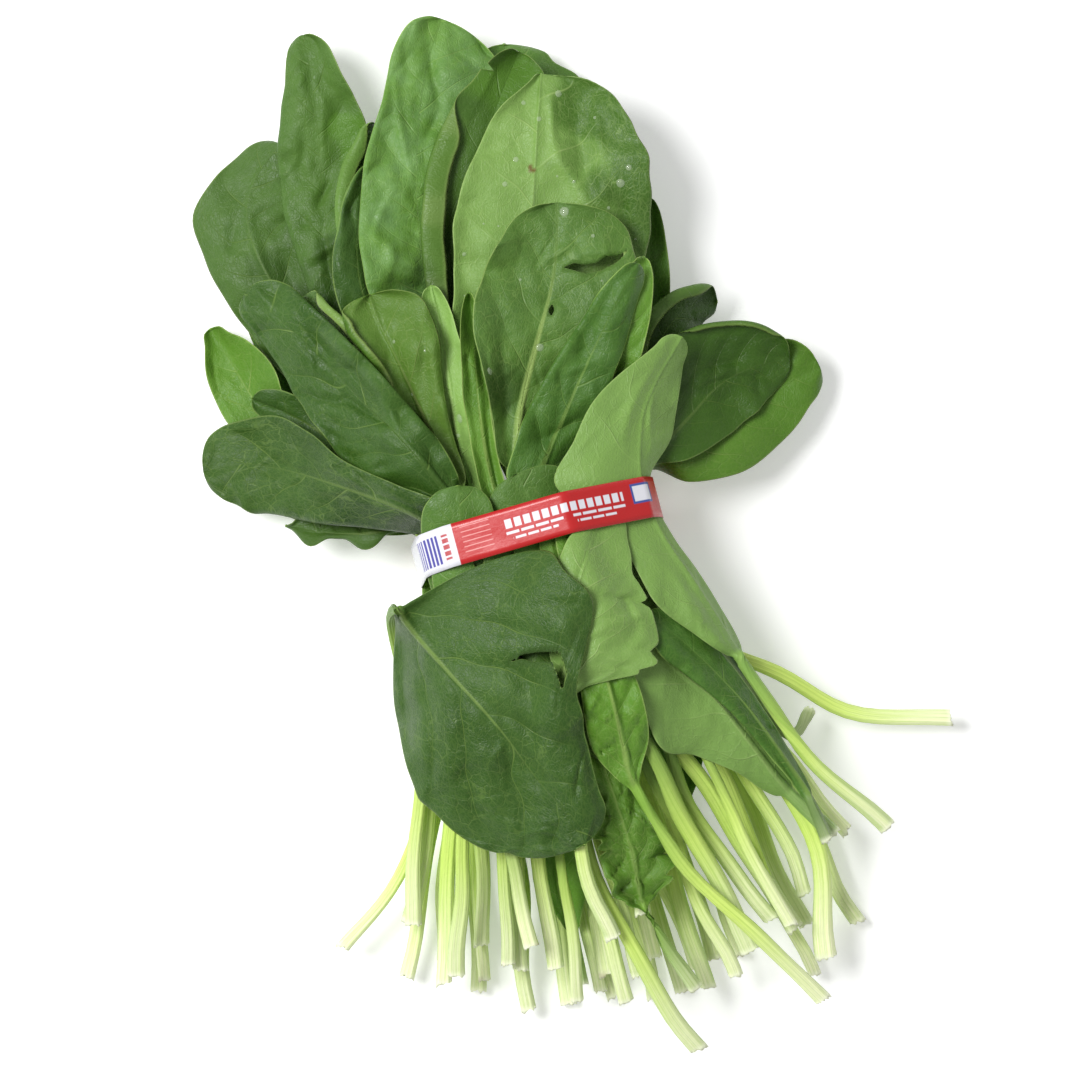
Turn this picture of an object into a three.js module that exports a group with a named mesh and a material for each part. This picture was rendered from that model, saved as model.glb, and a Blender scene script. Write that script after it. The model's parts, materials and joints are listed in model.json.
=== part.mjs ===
// A bunch of flat-leaf spinach lying on a table, held round its stalks by a printed paper tie.
//
// Frame, in millimetres: +Y runs from the cut stalks to the leaf tips, +X to the right as seen from above,
// +Z up from the table. The leaves are laid down one after another, lowest first, the way a bunch is
// gathered in the hand: each one keeps its own route seen from above, and rests on those below it.
import * as THREE from "three";

// ---- Driving dimensions ----
const TIE_WIDTH = 12.5; // along the bunch
const TIE_THICK = 0.6;
const TIE_LEAN = 0.12; // how far the tie's top leans towards the leaves, per mm of height
const TIE_OFFSET = -1.2; // of its middle along the bunch, at half its height
const TIE_SLACK = 0.5; // between the outermost stalk and the tie
const TIE_SIDES = 56;
const TIE_MARGIN = TIE_WIDTH / 2 + 2.5; // of its middle, within which a leaf keeps inside the waist
const WAIST_HALF_WIDTH = 38; // of the bunch inside the tie
const WAIST_HEIGHT = 54;
const WAIST_LENGTH = 26; // over which the tie gathers the pile up off the table
const GATHER_AT = -42; // along the bunch, where the stalks have come together
const GATHER_SPREAD = 0.28; // how much wider they still lie there than in the tie
const CLEARANCE = 0.4; // between one leaf and the next
const BLADE_THICK = 0.9; // of a leaf blade, halfway out to its margin
const STALK_RADII = [2.4, 2, 2.6, 2.2, 2.5]; // at the cut end, in turn
const STALK_TAPER = 0.35; // share of its radius that a stalk loses on its way to the blade
const RIB_AT_TIP = 0.5; // half the rib's depth at the tip
const STALK_STEP = 24; // between the stations along a stalk
const STALK_END = 4; // before the blade's base, where the stalk begins to widen into it
const BLADE_STEP = 9; // between the stations along a blade
const WAVE = 1.6; // how far a blade's margin waves up and down
const WAVE_ANGLE = 11; // of that wave in all, from the blade's base to its tip, in radians
const CELL = 1; // of the height map that the leaves are stacked on
const LIFT_ROUNDS = 3; // in which a leaf is lifted clear of those below it
const STIFFNESS = 8; // passes in which a lift is shared with the rest of the leaf

// The pile that the leaves share out between them, at stations along Y.
const PILE = [
  // y, height, half width
  [-170, 8, 70],
  [-120, 22, 88],
  [-60, 36, 62],
  [-20, 40, 46],
  [0, 40, 42],
  [25, 50, 62],
  [60, 70, 88],
  [100, 72, 86],
  [140, 58, 80],
  [170, 34, 70],
];

const GREEN = { deep: 0x3f6b31, mid: 0x4f8038, fresh: 0x63a030, pale: 0x7f9f5c };
const PAPER_RED = 0xc8322b;

// ---- The leaves, lowest first ----
// cut: the middle of the stalk's cut end. via: points on its way up. waist: where the stalk crosses the tie,
// in x; a leaf without one has its blade at the tie or below it. blade: stations along the midrib from the
// blade's base to its tip, each with the half widths to the left and right looking towards the tip.
// cup: how far the left and right margins stand above the midrib. lift: how far the tip rises.
// stalkStep, bladeStep: between the stations of a leaf that needs more.
// folded: the blade turns back over its own stalk.
const LEAVES = [
  // Underneath, on the table: the far side of the bunch.
  {
    name: "under_leaf_left", tone: "deep", cut: [-53, -131], waist: -20,
    blade: [[-28, 22, 5, 5], [-42, 46, 11, 12], [-53, 72, 14, 15], [-58, 94, 11, 12], [-60, 108]],
    cup: [4, 5],
  },
  {
    name: "under_leaf_far_left", tone: "mid", cut: [-50, -128], waist: -26,
    blade: [[-36, 12, 4, 4], [-52, 22, 9, 10], [-66, 33, 11, 12], [-78, 40, 8, 9], [-86, 44]],
    cup: [3, 4],
  },
  {
    name: "under_leaf_mid_left", tone: "mid", cut: [-27, -142], waist: -9,
    blade: [[-13, 22, 5, 5], [-21, 50, 13, 13], [-28, 80, 15, 16], [-34, 106, 12, 12], [-37, 124]],
    cup: [5, 4],
  },
  {
    name: "under_leaf_middle", tone: "deep", cut: [-2, -147], waist: 1,
    blade: [[2, 22, 5, 5], [3, 50, 13, 14], [6, 80, 16, 17], [9, 108, 13, 13], [11, 128]],
    cup: [4, 5],
  },
  {
    name: "under_leaf_mid_right", tone: "mid", cut: [19, -140], waist: 12,
    blade: [[15, 22, 5, 5], [21, 46, 13, 12], [31, 72, 16, 15], [39, 92, 12, 12], [44, 108]],
    cup: [4, 4],
  },
  {
    name: "under_leaf_right", tone: "deep", cut: [49, -137], waist: 25,
    blade: [[31, 12, 4, 4], [45, 22, 10, 9], [60, 29, 13, 12], [73, 31, 10, 9], [83, 31]],
    cup: [4, 3],
  },
  {
    name: "left_leaf_low", tone: "mid", cut: [-61, -119], waist: -30,
    blade: [[-36.5, 10, 2.5, 3], [-49, 12, 5, 6], [-60, 15, 7.5, 7], [-67, 18, 5, 5], [-73, 21]],
    cup: [-3, 3],
  },
  {
    name: "under_skirt_left", tone: "mid", cut: [-13, -143],
    blade: [[-19, -82, 4, 4], [-27, -60, 14, 12], [-32, -38, 20, 13], [-30, -17, 9.5, 8], [-27, 4]],
    cup: [4, 4],
  },
  {
    name: "under_skirt_right", tone: "deep", cut: [28, -141],
    blade: [[24, -86, 4, 4], [27, -64, 12, 12], [29, -40, 13, 12], [28, -16, 8, 9], [26, 4]],
    cup: [4, 4],
  },
  // The outer leaves at the sides, and the back row of the crown.
  {
    name: "right_leaf_low", tone: "fresh", cut: [65, -140], waist: 30,
    blade: [[37, 10, 3, 2], [52, 13, 10, 12.5], [68, 18, 15, 15],
      [82, 23, 17, 12], [90, 25, 11, 8], [96, 26]],
    cup: [2, -4],
  },
  {
    name: "left_leaf_high", tone: "mid", cut: [-73, -121], waist: -23,
    blade: [[-33, 36, 5, 5], [-47, 65, 13, 13], [-57, 90, 14.5, 15],
      [-60.5, 105, 15.5, 16], [-60, 116, 16.5, 15], [-55, 125, 9, 12], [-45, 133.5]],
    cup: [-3, 3],
  },
  {
    name: "left_leaf_bright", tone: "fresh", cut: [-89, -107], via: [[-68, -92], [-54, -73]], waist: -31,
    blade: [[-50, 30, 3, 3], [-63, 44, 6, 6], [-70, 54, 10, 8],
      [-74, 65, 10.5, 10.5], [-77, 75, 8, 8.5], [-79, 81, 4, 4.5], [-80, 85]],
    cup: [3, 4],
  },
  {
    name: "left_leaf_small", tone: "deep", cut: [-67, -104], waist: -28,
    blade: [[-47, 34, 3, 3], [-55, 45, 5, 5], [-64, 54, 5.5, 6], [-73, 61]],
    cup: [2, 2],
  },
  {
    name: "crown_leaf_back_right", tone: "mid", cut: [7, -147], waist: 5,
    blade: [[5, 30, 5, 5], [10, 65, 12, 14], [16, 98, 15, 21],
      [22, 120, 14, 27], [26, 133, 12, 23.5], [27.3, 139.5, 8.5, 14.5], [28.5, 145]],
    cup: [2, -4],
  },
  {
    name: "crown_leaf_tall", tone: "mid", cut: [-39, -140], waist: -17,
    blade: [[-24, 30, 4, 4], [-36, 58, 7, 8], [-40, 84, 8, 8], [-37.5, 106, 12, 8.5],
      [-35.5, 119, 13, 10], [-33, 132, 12.5, 15], [-30.5, 151, 7.5, 8.5], [-30, 163]],
    cup: [-3, 5], lift: 6,
  },
  {
    name: "crown_leaf_curled", tone: "deep", cut: [-38, -127], waist: -13,
    blade: [[-19, 32, 4, 4], [-28, 62, 6, 6], [-30, 90, 6, 8], [-25, 112, 7.5, 8], [-15, 131]],
    cup: [6, -2],
  },
  {
    name: "crown_leaf_slim", tone: "deep", cut: [-17, -140], waist: -10,
    blade: [[-17, 32, 3, 3], [-27, 58, 6, 6], [-32, 83, 8, 7], [-28, 103, 5.5, 6], [-20, 119]],
    cup: [4, -2],
  },
  {
    name: "crown_leaf_back", tone: "mid", cut: [-13, -135], waist: -6,
    blade: [[-8, 26, 5, 5], [-12, 56, 12, 10], [-12, 88, 18, 14],
      [-7, 114, 15.5, 17], [0, 135, 11, 21], [6, 147.5, 10, 22], [12, 156.5]],
    cup: [4, 3], lift: 4,
  },
  {
    name: "right_leaf_slim", tone: "deep", cut: [68, -112], waist: 24,
    blade: [[36, 20, 3, 3], [45, 40, 5, 5], [52, 62, 6, 6], [56, 78, 4, 4.5], [58, 89]],
    cup: [2, 3],
  },
  {
    name: "right_leaf_dark", tone: "deep", cut: [107, -87], via: [[90, -83], [75, -76],
      [61, -62]], waist: 28,
    blade: [[37, 20, 3, 3], [45, 37, 6, 6], [54, 49, 8, 8], [64, 54, 6, 6], [71, 53]],
    cup: [4, -2],
  },
  {
    name: "left_leaf_tucked", tone: "mid", cut: [-48, -117], waist: -24,
    blade: [[-31, 28, 3, 3], [-38, 50, 7, 7], [-43, 68, 8, 7], [-47, 79, 5, 5], [-50, 86]],
    cup: [4, 3],
  },
  {
    name: "crown_leaf_rolled", tone: "mid", cut: [13, -141], waist: 0,
    blade: [[-5, 28, 4, 4], [-6, 60, 7, 10], [2, 90, 12.5, 17],
      [12, 112, 14, 19], [23, 129, 8, 15], [32, 141]],
    cup: [7, 2],
  },
  {
    name: "crown_leaf_pale", tone: "pale", cut: [15, -147], waist: 9,
    blade: [[5, 24, 8, 10], [10, 50, 20, 24], [18, 76, 22.5, 34], [23.6, 93.1, 22.8, 35.4],
      [28.3, 107.4, 18.6, 34], [31.8, 118.3, 13.9, 29.3], [34, 124.7, 8.9, 24.5],
      [35.4, 129.2, 4, 19.6], [36.1, 131.3, 1.8, 14.5], [36.4, 132.2]],
    cup: [3, 6],
  },
  {
    name: "right_leaf_broad", tone: "deep", cut: [50, -127], waist: 30,
    blade: [[36, 11, 3, 2], [50, 19, 12, 11], [62, 27, 19, 13],
      [74, 31, 16, 12.5], [82, 31, 9.5, 8], [87.5, 30]],
    cup: [5, -2], lift: 4,
  },
  {
    name: "lower_leaf_behind", tone: "fresh", cut: [-22, -136],
    blade: [[-20, -117, 3, 3], [-20, -104, 8, 9], [-17, -90, 8, 8],
      [-14, -70, 6, 6], [-12, -40, 5, 5], [-8, 4]],
    cup: [2, 3],
  },
  {
    name: "crown_leaf_inner", tone: "pale", cut: [-10, -144], waist: -11,
    blade: [[-15, 12, 5, 4], [-15.5, 30, 5.5, 5.5], [-13.5, 49, 7, 7], [-12, 64, 6, 4.5], [-11.5, 79]],
    cup: [2, 3],
  },
  {
    name: "crown_leaf_edge_on", tone: "fresh", cut: [-4, -137], waist: -6,
    blade: [[-9, 13, 3, 3.5], [-8, 32, 4, 3.5], [-5, 52, 4, 3], [-1, 74]],
    cup: [3, 4],
  },
  {
    name: "crown_leaf_small", tone: "fresh", cut: [-28, -129], waist: -15,
    blade: [[-20, 20, 4, 4], [-24, 44, 6, 8], [-27, 61, 7, 14], [-29.5, 74, 9.5, 14], [-30, 81]],
    cup: [4, 4],
  },
  {
    name: "left_leaf_long", tone: "deep", cut: [-42, -124], waist: -18,
    blade: [[-23, 18, 9, 5], [-32, 37, 17, 7.5], [-42, 54, 15.5, 8.5],
      [-51, 70, 12, 8.5], [-58, 81, 8.5, 8.5], [-62.5, 87, 6.5, 7.5], [-66, 91.5]],
    cup: [-5, -3], lift: 3,
  },
  {
    name: "left_leaf_front", tone: "deep", cut: [-62, -125], waist: -27,
    blade: [[-30, 11, 5, 6], [-43, 21, 9.5, 6], [-57, 30.5, 13.5, 8.5],
      [-70, 38, 14.5, 15], [-82, 42.5, 12.5, 12.5], [-93, 43]],
    cup: [-5, 1],
  },
  {
    name: "crown_leaf_front", tone: "mid", cut: [2, -134], waist: 4,
    blade: [[0, 22, 5, 8], [5, 37, 9.5, 14], [15, 55, 20, 21],
      [23, 69, 20.5, 27], [28.5, 83, 15.5, 21], [31, 93]],
    cup: [4, 3],
  },
  {
    name: "right_leaf_curled", tone: "fresh", cut: [47, -152], waist: 20,
    blade: [[25, 18, 4, 4], [33, 36, 5, 6], [43, 54, 5, 6], [52, 71]],
    cup: [4, 2],
  },
  {
    name: "crown_leaf_diagonal", tone: "deep", cut: [45, -136], waist: 0,
    blade: [[3, 13, 8, 9], [13, 26, 10, 10], [24, 40, 9, 9.5],
      [35, 53, 6.5, 7.5], [43, 62, 5, 5], [50, 69]],
    cup: [2, -4],
  },
  {
    name: "collar_leaf_right", tone: "mid", cut: [1, -119], waist: 3,
    blade: [[10, -26, 8, 10], [6, -10, 12, 14], [2, 5, 13, 14], [0, 13, 12, 13], [-1, 18]],
    cup: [-2, -2],
  },
  {
    name: "collar_leaf_left", tone: "mid", cut: [-57, -123], waist: -21,
    blade: [[-26, -26, 8, 8], [-24, -10, 11, 11], [-21.5, 5, 12, 11], [-20, 13, 10, 9], [-19, 19]],
    cup: [-3, -2],
  },
  // Short leaves whose blades end at the tie, under the lower leaves.
  {
    name: "skirt_leaf_left", tone: "mid", cut: [-33, -120],
    blade: [[-32, -70, 3, 3], [-30, -48, 10, 10], [-28, -26, 10, 10], [-27, -10, 7, 7], [-26, 4]],
    cup: [-2, -2],
  },
  {
    name: "skirt_leaf_mid_left", tone: "mid", cut: [-24, -140],
    blade: [[-15, -76, 3, 3], [-13, -52, 9, 9], [-12, -30, 9, 9], [-12, -12, 6, 6], [-12, 4]],
    cup: [-1, -1],
  },
  {
    name: "skirt_leaf_middle", tone: "mid", cut: [8, -163], via: [[-4, -130], [-8, -108]],
    blade: [[-8, -74, 3, 3], [-6, -52, 9, 8], [-4, -30, 9, 8], [-3, -12, 6, 6], [-2, 4]],
    cup: [-1, -1],
  },
  {
    name: "skirt_leaf_thin", tone: "mid", cut: [23.5, -145],
    blade: [[12, -66, 3, 3], [9, -46, 8, 8], [8, -28, 8, 8], [8, -12, 6, 6], [9, 4]],
    cup: [-1, -1],
  },
  {
    name: "skirt_leaf_slim_right", tone: "mid", cut: [39, -131], via: [[25, -94]],
    blade: [[21, -66, 3, 3], [21, -46, 7, 7], [22, -28, 7, 8], [23, -12, 5, 6], [24, 4]],
    cup: [-1, -1],
  },
  {
    name: "skirt_leaf_thick", tone: "mid", cut: [30, -138], via: [[23, -102], [17, -74]], radius: 3,
    blade: [[14, -60, 3, 3], [13, -42, 8, 8], [13, -26, 8, 8], [14, -12, 6, 6], [15, 4]],
    cup: [-1, -1],
  },
  {
    name: "skirt_leaf_right", tone: "mid", cut: [44, -134], via: [[36, -98], [31, -76]],
    blade: [[30, -60, 2, 2], [30, -42, 7, 7], [31, -26, 7, 7], [31, -12, 5, 6], [28, 4]],
    cup: [-1, -2],
  },
  {
    name: "skirt_leaf_far_right", tone: "pale", cut: [52, -147], via: [[56, -122],
      [54, -98]], radius: 3.2,
    blade: [[44, -68, 3, 3], [39, -46, 6, 6], [36, -26, 6, 6], [34, -12, 5, 4], [28, 4]],
    cup: [-1, -2],
  },
  // The leaves that show below the tie.
  {
    name: "lower_leaf_crumpled", tone: "fresh", cut: [11, -145],
    blade: [[2, -113, 7, 10], [3, -104, 9, 13], [3, -93, 11, 11],
      [2, -82, 8, 8], [1, -56, 7, 7], [2, -26, 5, 5], [4, 4]],
    cup: [-1, -1],
  },
  {
    name: "lower_leaf_grey", tone: "pale", cut: [63, -111],
    blade: [[52, -93, 4, 3], [45, -77, 11, 4], [39, -63, 21, 5],
      [31, -52, 17, 6], [24, -38, 10, 8], [20, 4]],
    cup: [-2, -1],
  },
  {
    name: "lower_leaf_slim", tone: "deep", cut: [66, -74], via: [[63, -80], [57, -79]], radius: 2,
    blade: [[51, -66, 2, 2], [45, -50, 3.5, 3.5], [39, -32, 4, 4], [34, -12, 3, 3], [27, 4]],
    cup: [1, -1],
  },
  {
    name: "lower_leaf_dark", tone: "deep", cut: [61, -112],
    blade: [[58, -96, 2, 2], [53, -81, 3, 3], [47, -66, 4, 4],
      [40, -53, 5.5, 5.5], [33, -42, 6.5, 6.5], [25, -32]],
    cup: [-2, -2],
  },
  {
    name: "right_leaf_long", tone: "pale", cut: [79, -113], via: [[67, -91], [57, -79], [52, -64]],
    blade: [[48, -48, 4, 2.5], [42, -28, 13, 3], [36.5, -12, 12, 2.5], [34, 2, 16, 2.5],
      [34.5, 9, 26, 4], [36.5, 17, 20, 8.5], [40, 26, 15, 10], [47, 35, 8.5, 7.5],
      [52.5, 40.5, 5.5, 4.5], [57, 45]],
    cup: [-3, -2],
  },
  {
    name: "lower_leaf_bright", tone: "fresh", cut: [47, -158], via: [[32, -133], [20, -112],
      [14, -95]], radius: 2.4,
    blade: [[8.5, -79, 3, 3], [8.5, -70, 8.5, 7.5],
      [9, -60, 9.5, 9], [9, -46, 8, 8], [9, -24, 5, 5], [8, 4]],
    cup: [-1, -1],
  },
  {
    name: "lower_leaf_pale", tone: "pale", cut: [-9, -123], via: [[-11, -92], [-9, -66]],
    blade: [[-4, -46, 2, 8], [0, -37, 6, 27], [4, -28, 8, 25],
      [9, -17, 8, 20], [15, -8, 7, 12], [21, 3]],
    cup: [-1, -1],
  },
  {
    name: "lower_leaf_big", tone: "deep", cut: [-66, -105],
    via: [[-58, -80], [-51, -52], [-49.5, -28], [-48.5, -15.5], [-46, -11.5]],
    blade: [[-44, -16, 25, 4.5], [-40.5, -24, 44, 13], [-34, -37, 46, 24],
      [-29.5, -45.5, 46, 29], [-26.5, -51.5, 36, 31], [-24, -57, 26, 32.5],
      [-19, -70, 19.5, 29], [-13, -83, 12, 21], [-10, -93.5]],
    cup: [-2, -7], stalkStep: 7, bladeStep: 6, folded: true,
  },
];

// ---- Routes ----

// Linear interpolation in a table of [key, value, value...] rows.
function along(table, key, column) {
  const after = table.findIndex((row) => row[0] >= key);
  if (after <= 0) return table[after === 0 ? 0 : table.length - 1][column];
  const [a, b] = [table[after - 1], table[after]];
  return a[column] + ((b[column] - a[column]) * (key - a[0])) / (b[0] - a[0]);
}

// The height of a leaf that lies a share `level` of the way up the pile, 0 on the table and 1 on top.
function layerHeight(x, y, level) {
  const half = along(PILE, y, 2);
  const top = along(PILE, y, 1) * Math.sqrt(Math.max(0.08, 1 - (x / half) ** 2));
  const roundness = Math.exp(-((y / WAIST_LENGTH) ** 2));
  const side = Math.min(1, Math.abs(x) / (WAIST_HALF_WIDTH + 2));
  const bottom = roundness * (WAIST_HEIGHT / 2) * (1 - Math.sqrt(1 - side * side));
  return bottom + level * Math.max(0, top - bottom);
}

// The leaf's midline seen from above, its half widths, and the number of spans up to the blade's base.
function routeOf(leaf, radius) {
  const points = [leaf.cut, ...(leaf.via ?? [])];
  const [, bladeStart] = leaf.blade[0];
  if (leaf.waist !== undefined && bladeStart > 0) {
    const [x, y] = points[points.length - 1];
    points.push([leaf.waist + GATHER_SPREAD * (x - leaf.waist), Math.max(GATHER_AT, y + 15)]);
    if (bladeStart > TIE_MARGIN) points.push([leaf.waist, 0]);
  }
  const base = points.length;
  const stations = [...points.map(([x, y]) => [x, y, radius, radius]), ...leaf.blade];
  const midline = new THREE.CatmullRomCurve3(
    stations.map(([x, y]) => new THREE.Vector3(x, y, 0)), false, "centripetal");
  const widths = new THREE.CatmullRomCurve3(
    stations.map(([, , left = 0, right = 0]) => new THREE.Vector3(left, right, 0)), false, "catmullrom");
  return { midline, widths, base, spans: stations.length - 1 };
}

// Shares of the midline's parameter at which the stalk and then the blade have a station. A blade's comes
// with its share along the blade.
function stationsOf({ midline, base, spans }, stalkStep, bladeStep) {
  const lengths = midline.getLengths(spans * 20);
  const total = lengths[lengths.length - 1];
  const baseLength = lengths[base * 20];
  const stalkCount = Math.max(3, Math.round(baseLength / stalkStep));
  const bladeCount = Math.max(6, Math.round((total - baseLength) / bladeStep) + 2);
  const stalkLength = baseLength - STALK_END;
  const stalk = Array.from({ length: stalkCount }, (_, i) => (i / (stalkCount - 1)) * stalkLength);
  const blade = Array.from({ length: bladeCount }, (_, i) => Math.sin((Math.PI / 2) * (i / bladeCount)));
  return {
    stalk: stalk.map((length) => midline.getUtoTmapping(0, length)),
    blade: blade.map((s) => [midline.getUtoTmapping(0, baseLength + (total - baseLength) * s), s]),
  };
}

// Nothing of a leaf crosses the paper of the tie: what is level with the tie stays within the waist, and a
// margin that would pass its ends is turned away along the bunch.
function clearOfTie(x, y, centre) {
  const near = TIE_MARGIN;
  const within = WAIST_HALF_WIDTH - 0.5;
  if (Math.abs(centre.y) < near) return [THREE.MathUtils.clamp(x, -within, within), y];
  const beside = Math.abs(x) > within && Math.abs(x) < within + 5;
  return [x, beside ? Math.sign(centre.y) * Math.max(near, Math.sign(centre.y) * y) : y];
}

// Five columns across the leaf at each station, from the cut end to just short of the tip. Each column point
// has a place in x and y, a middle height and a thickness. The outermost columns are the bare margins.
function columnsOf(leaf, level, order) {
  const radius = leaf.radius ?? STALK_RADII[order % STALK_RADII.length];
  const route = routeOf(leaf, radius * (1 - STALK_TAPER));
  const { midline, widths, base, spans } = route;
  const { stalk, blade } = stationsOf(route, leaf.stalkStep ?? STALK_STEP, leaf.bladeStep ?? BLADE_STEP);

  function row(u, s, half, rib) {
    const p = midline.getPoint(u);
    const d = midline.getTangent(u);
    const left = new THREE.Vector2(-d.y, d.x).normalize();
    // 0 in the round stalk, 1 in the flat blade.
    const flat = THREE.MathUtils.smoothstep(Math.max(...half), rib, 2.4 * rib);
    const inner = THREE.MathUtils.lerp(0.7, 0.5, flat);
    const thick = THREE.MathUtils.lerp(1.4 * rib, BLADE_THICK, flat);
    const offsets = [half[0], half[0] * inner, 0, -half[1] * inner, -half[1]];
    const thicks = [0, thick, 2 * rib, thick, 0];
    return offsets.map((offset, c) => {
      const [x, y] = clearOfTie(p.x + left.x * offset, p.y + left.y * offset, p);
      const side = offset > 0 ? 0 : 1;
      const outward = (offset / half[side]) ** 2 * flat; // 1 at the blade's margin
      const wave = WAVE * Math.sin(WAVE_ANGLE * s + order + 2 * side) * Math.min(1, half[side] / 10);
      const own = layerHeight(p.x, p.y, level);
      const z = THREE.MathUtils.lerp(own, layerHeight(x, y, level), flat / 2) + (leaf.lift ?? 0) * s * s;
      return { x, y, z: z + outward * (leaf.cup[side] + wave), thick: thicks[c] };
    });
  }

  const stalkRows = stalk.map((u) => {
    const r = radius * (1 - STALK_TAPER * Math.min(1, (u * spans) / base));
    return row(u, 0, [r, r], r);
  });
  const bladeRows = blade.map(([u, s]) => {
    const rib = Math.max(RIB_AT_TIP, radius * (1 - STALK_TAPER) * (1 - s) ** 1.3);
    const last = u * spans - (spans - 1); // above 0 in the last span, which closes as a quarter ellipse
    const w = widths.getPoint(last > 0 ? (spans - 1) / spans : u);
    const closing = last > 0 ? Math.sqrt(1 - last * last) : 1;
    return row(u, s, [w.x, w.y].map((v) => Math.max(rib, v * closing)), rib);
  });
  const end = midline.getPoint(1);
  const tip = { x: end.x, y: end.y, z: bladeRows[bladeRows.length - 1][2].z, thick: 0 };
  return { rows: [...stalkRows, ...bladeRows], tip, stalkCount: stalk.length };
}

// ---- Stacking ----
class HeightMap {
  constructor() {
    this.cells = new Map();
  }
  key(x, y) {
    return `${Math.round(x / CELL)},${Math.round(y / CELL)}`;
  }
  at(x, y) {
    const table = Math.abs(y) < TIE_WIDTH ? TIE_THICK : -CLEARANCE;
    return Math.max(table, this.cells.get(this.key(x, y)) ?? table);
  }
  raise(x, y, z) {
    for (let i = -1; i <= 1; i++) {
      for (let j = -1; j <= 1; j++) {
        const key = this.key(x + i * CELL, y + j * CELL);
        if (!(this.cells.get(key) >= z)) this.cells.set(key, z);
      }
    }
  }
}

// Calls back with points all over a triangle, no further apart than half a cell, and their three weights.
function overTriangle([a, b, c], visit) {
  const longest = Math.max(
    Math.hypot(a.x - b.x, a.y - b.y), Math.hypot(b.x - c.x, b.y - c.y), Math.hypot(c.x - a.x, c.y - a.y));
  const n = Math.max(1, Math.ceil(longest / (0.5 * CELL)));
  for (let i = 0; i <= n; i++) {
    for (let j = 0; j <= n - i; j++) {
      const [u, v] = [i / n, j / n];
      const w = 1 - u - v;
      visit(w * a.x + u * b.x + v * c.x, w * a.y + u * b.y + v * c.y, w * a.z + u * b.z + v * c.z, [w, u, v]);
    }
  }
}

// The triangles between neighbouring stations, as triples of column points, and those that close the tip.
function sheetTriangles({ rows, tip }) {
  const triangles = [];
  rows.slice(1).forEach((row, i) => {
    for (let c = 0; c < row.length - 1; c++) {
      triangles.push([rows[i][c], rows[i][c + 1], row[c]], [row[c], rows[i][c + 1], row[c + 1]]);
    }
  });
  const last = rows[rows.length - 1];
  for (let c = 0; c < last.length - 1; c++) triangles.push([last[c], last[c + 1], tip ?? last[2]]);
  return triangles;
}

const face = (p, side) => ({ x: p.x, y: p.y, z: p.z + (side * p.thick) / 2 });

// Lifts the leaf clear of everything below it. Each round raises the points of a triangle by their share in
// its worst clash, and the rest of the leaf a little with them, as a stiff leaf would bridge a bump. The last
// round raises whole triangles by what is left. A stalk keeps its cross-section as it is raised.
function rest(leaf, heights) {
  const triangles = sheetTriangles(leaf);
  const points = [...new Set(triangles.flat())];
  const neighbours = new Map(points.map((p) => [p, new Set()]));
  for (const triangle of triangles) {
    for (const p of triangle) triangle.filter((q) => q !== p).forEach((q) => neighbours.get(p).add(q));
  }
  for (let round = 1; round <= LIFT_ROUNDS; round++) {
    const need = new Map(points.map((p) => [p, 0]));
    for (const triangle of triangles) {
      overTriangle(triangle.map((p) => face(p, -1)), (x, y, z, weights) => {
        const clash = heights.at(x, y) + CLEARANCE - z;
        if (clash <= 0) return;
        const nearest = Math.max(...weights);
        triangle.forEach((p, i) => {
          const share = round < LIFT_ROUNDS ? weights[i] / nearest : 1;
          need.set(p, Math.max(need.get(p), clash * share));
        });
      });
    }
    let lift = need;
    for (let pass = 0; pass < STIFFNESS; pass++) {
      lift = new Map(points.map((p) => {
        const around = [...neighbours.get(p)];
        const mean = around.reduce((sum, q) => sum + lift.get(q), 0) / around.length;
        return [p, Math.max(need.get(p), 0.4 * lift.get(p) + 0.6 * mean)];
      }));
    }
    for (const row of leaf.rows.slice(0, leaf.stalkCount)) {
      const most = Math.max(...row.map((p) => lift.get(p)));
      row.forEach((p) => lift.set(p, most));
    }
    for (const p of points) p.z += lift.get(p);
  }
  for (const triangle of triangles) {
    overTriangle(triangle.map((p) => face(p, 1)), (x, y, z) => heights.raise(x, y, z));
  }
}

// A leaf that folds back over its own stalk is laid in two goes, the stalk first.
function layDown(leaf, folded, heights) {
  if (!folded) return rest(leaf, heights);
  const bend = leaf.stalkCount - 1;
  rest({ rows: leaf.rows.slice(0, bend), stalkCount: bend }, heights);
  rest({ rows: leaf.rows.slice(bend), tip: leaf.tip, stalkCount: 1 }, heights);
}

// ---- Solids ----
function solid(positions, indices) {
  const geometry = new THREE.BufferGeometry();
  geometry.setAttribute("position", new THREE.Float32BufferAttribute(positions, 3));
  geometry.setIndex(indices);
  return geometry;
}

// Eight points round each station: the left margin, over the top to the right margin, and back underneath.
// A quad above and the one below it are split along the same diagonal, so a twisted blade stays as thick.
function leafGeometry({ rows, tip }) {
  const rings = rows.map((row) => [
    ...row.map((p) => face(p, 1)),
    ...row.slice(1, -1).reverse().map((p) => face(p, -1)),
  ]);
  const around = rings[0].length;
  const vertices = [...rings.flat(), face({ ...rows[0][2], thick: 0 }, 1), tip];
  const [cutEnd, tipEnd] = [vertices.length - 2, vertices.length - 1];
  const indices = [];
  for (let i = 0; i < around; i++) {
    const j = (i + 1) % around;
    indices.push(cutEnd, j, i);
    for (let k = 0; k < rings.length - 1; k++) {
      const [a, b] = [k * around, (k + 1) * around];
      const above = i < around / 2;
      indices.push(a + i, a + j, above ? b + i : b + j);
      indices.push(above ? a + j : a + i, b + j, b + i);
    }
    const last = (rings.length - 1) * around;
    indices.push(last + i, last + j, tipEnd);
  }
  return solid(vertices.flatMap((p) => [p.x, p.y, p.z]), indices);
}

// The middle of the tie, along Y, at a height.
const tieMiddle = (z) => TIE_LEAN * (z - WAIST_HEIGHT / 2) + TIE_OFFSET;

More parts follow.
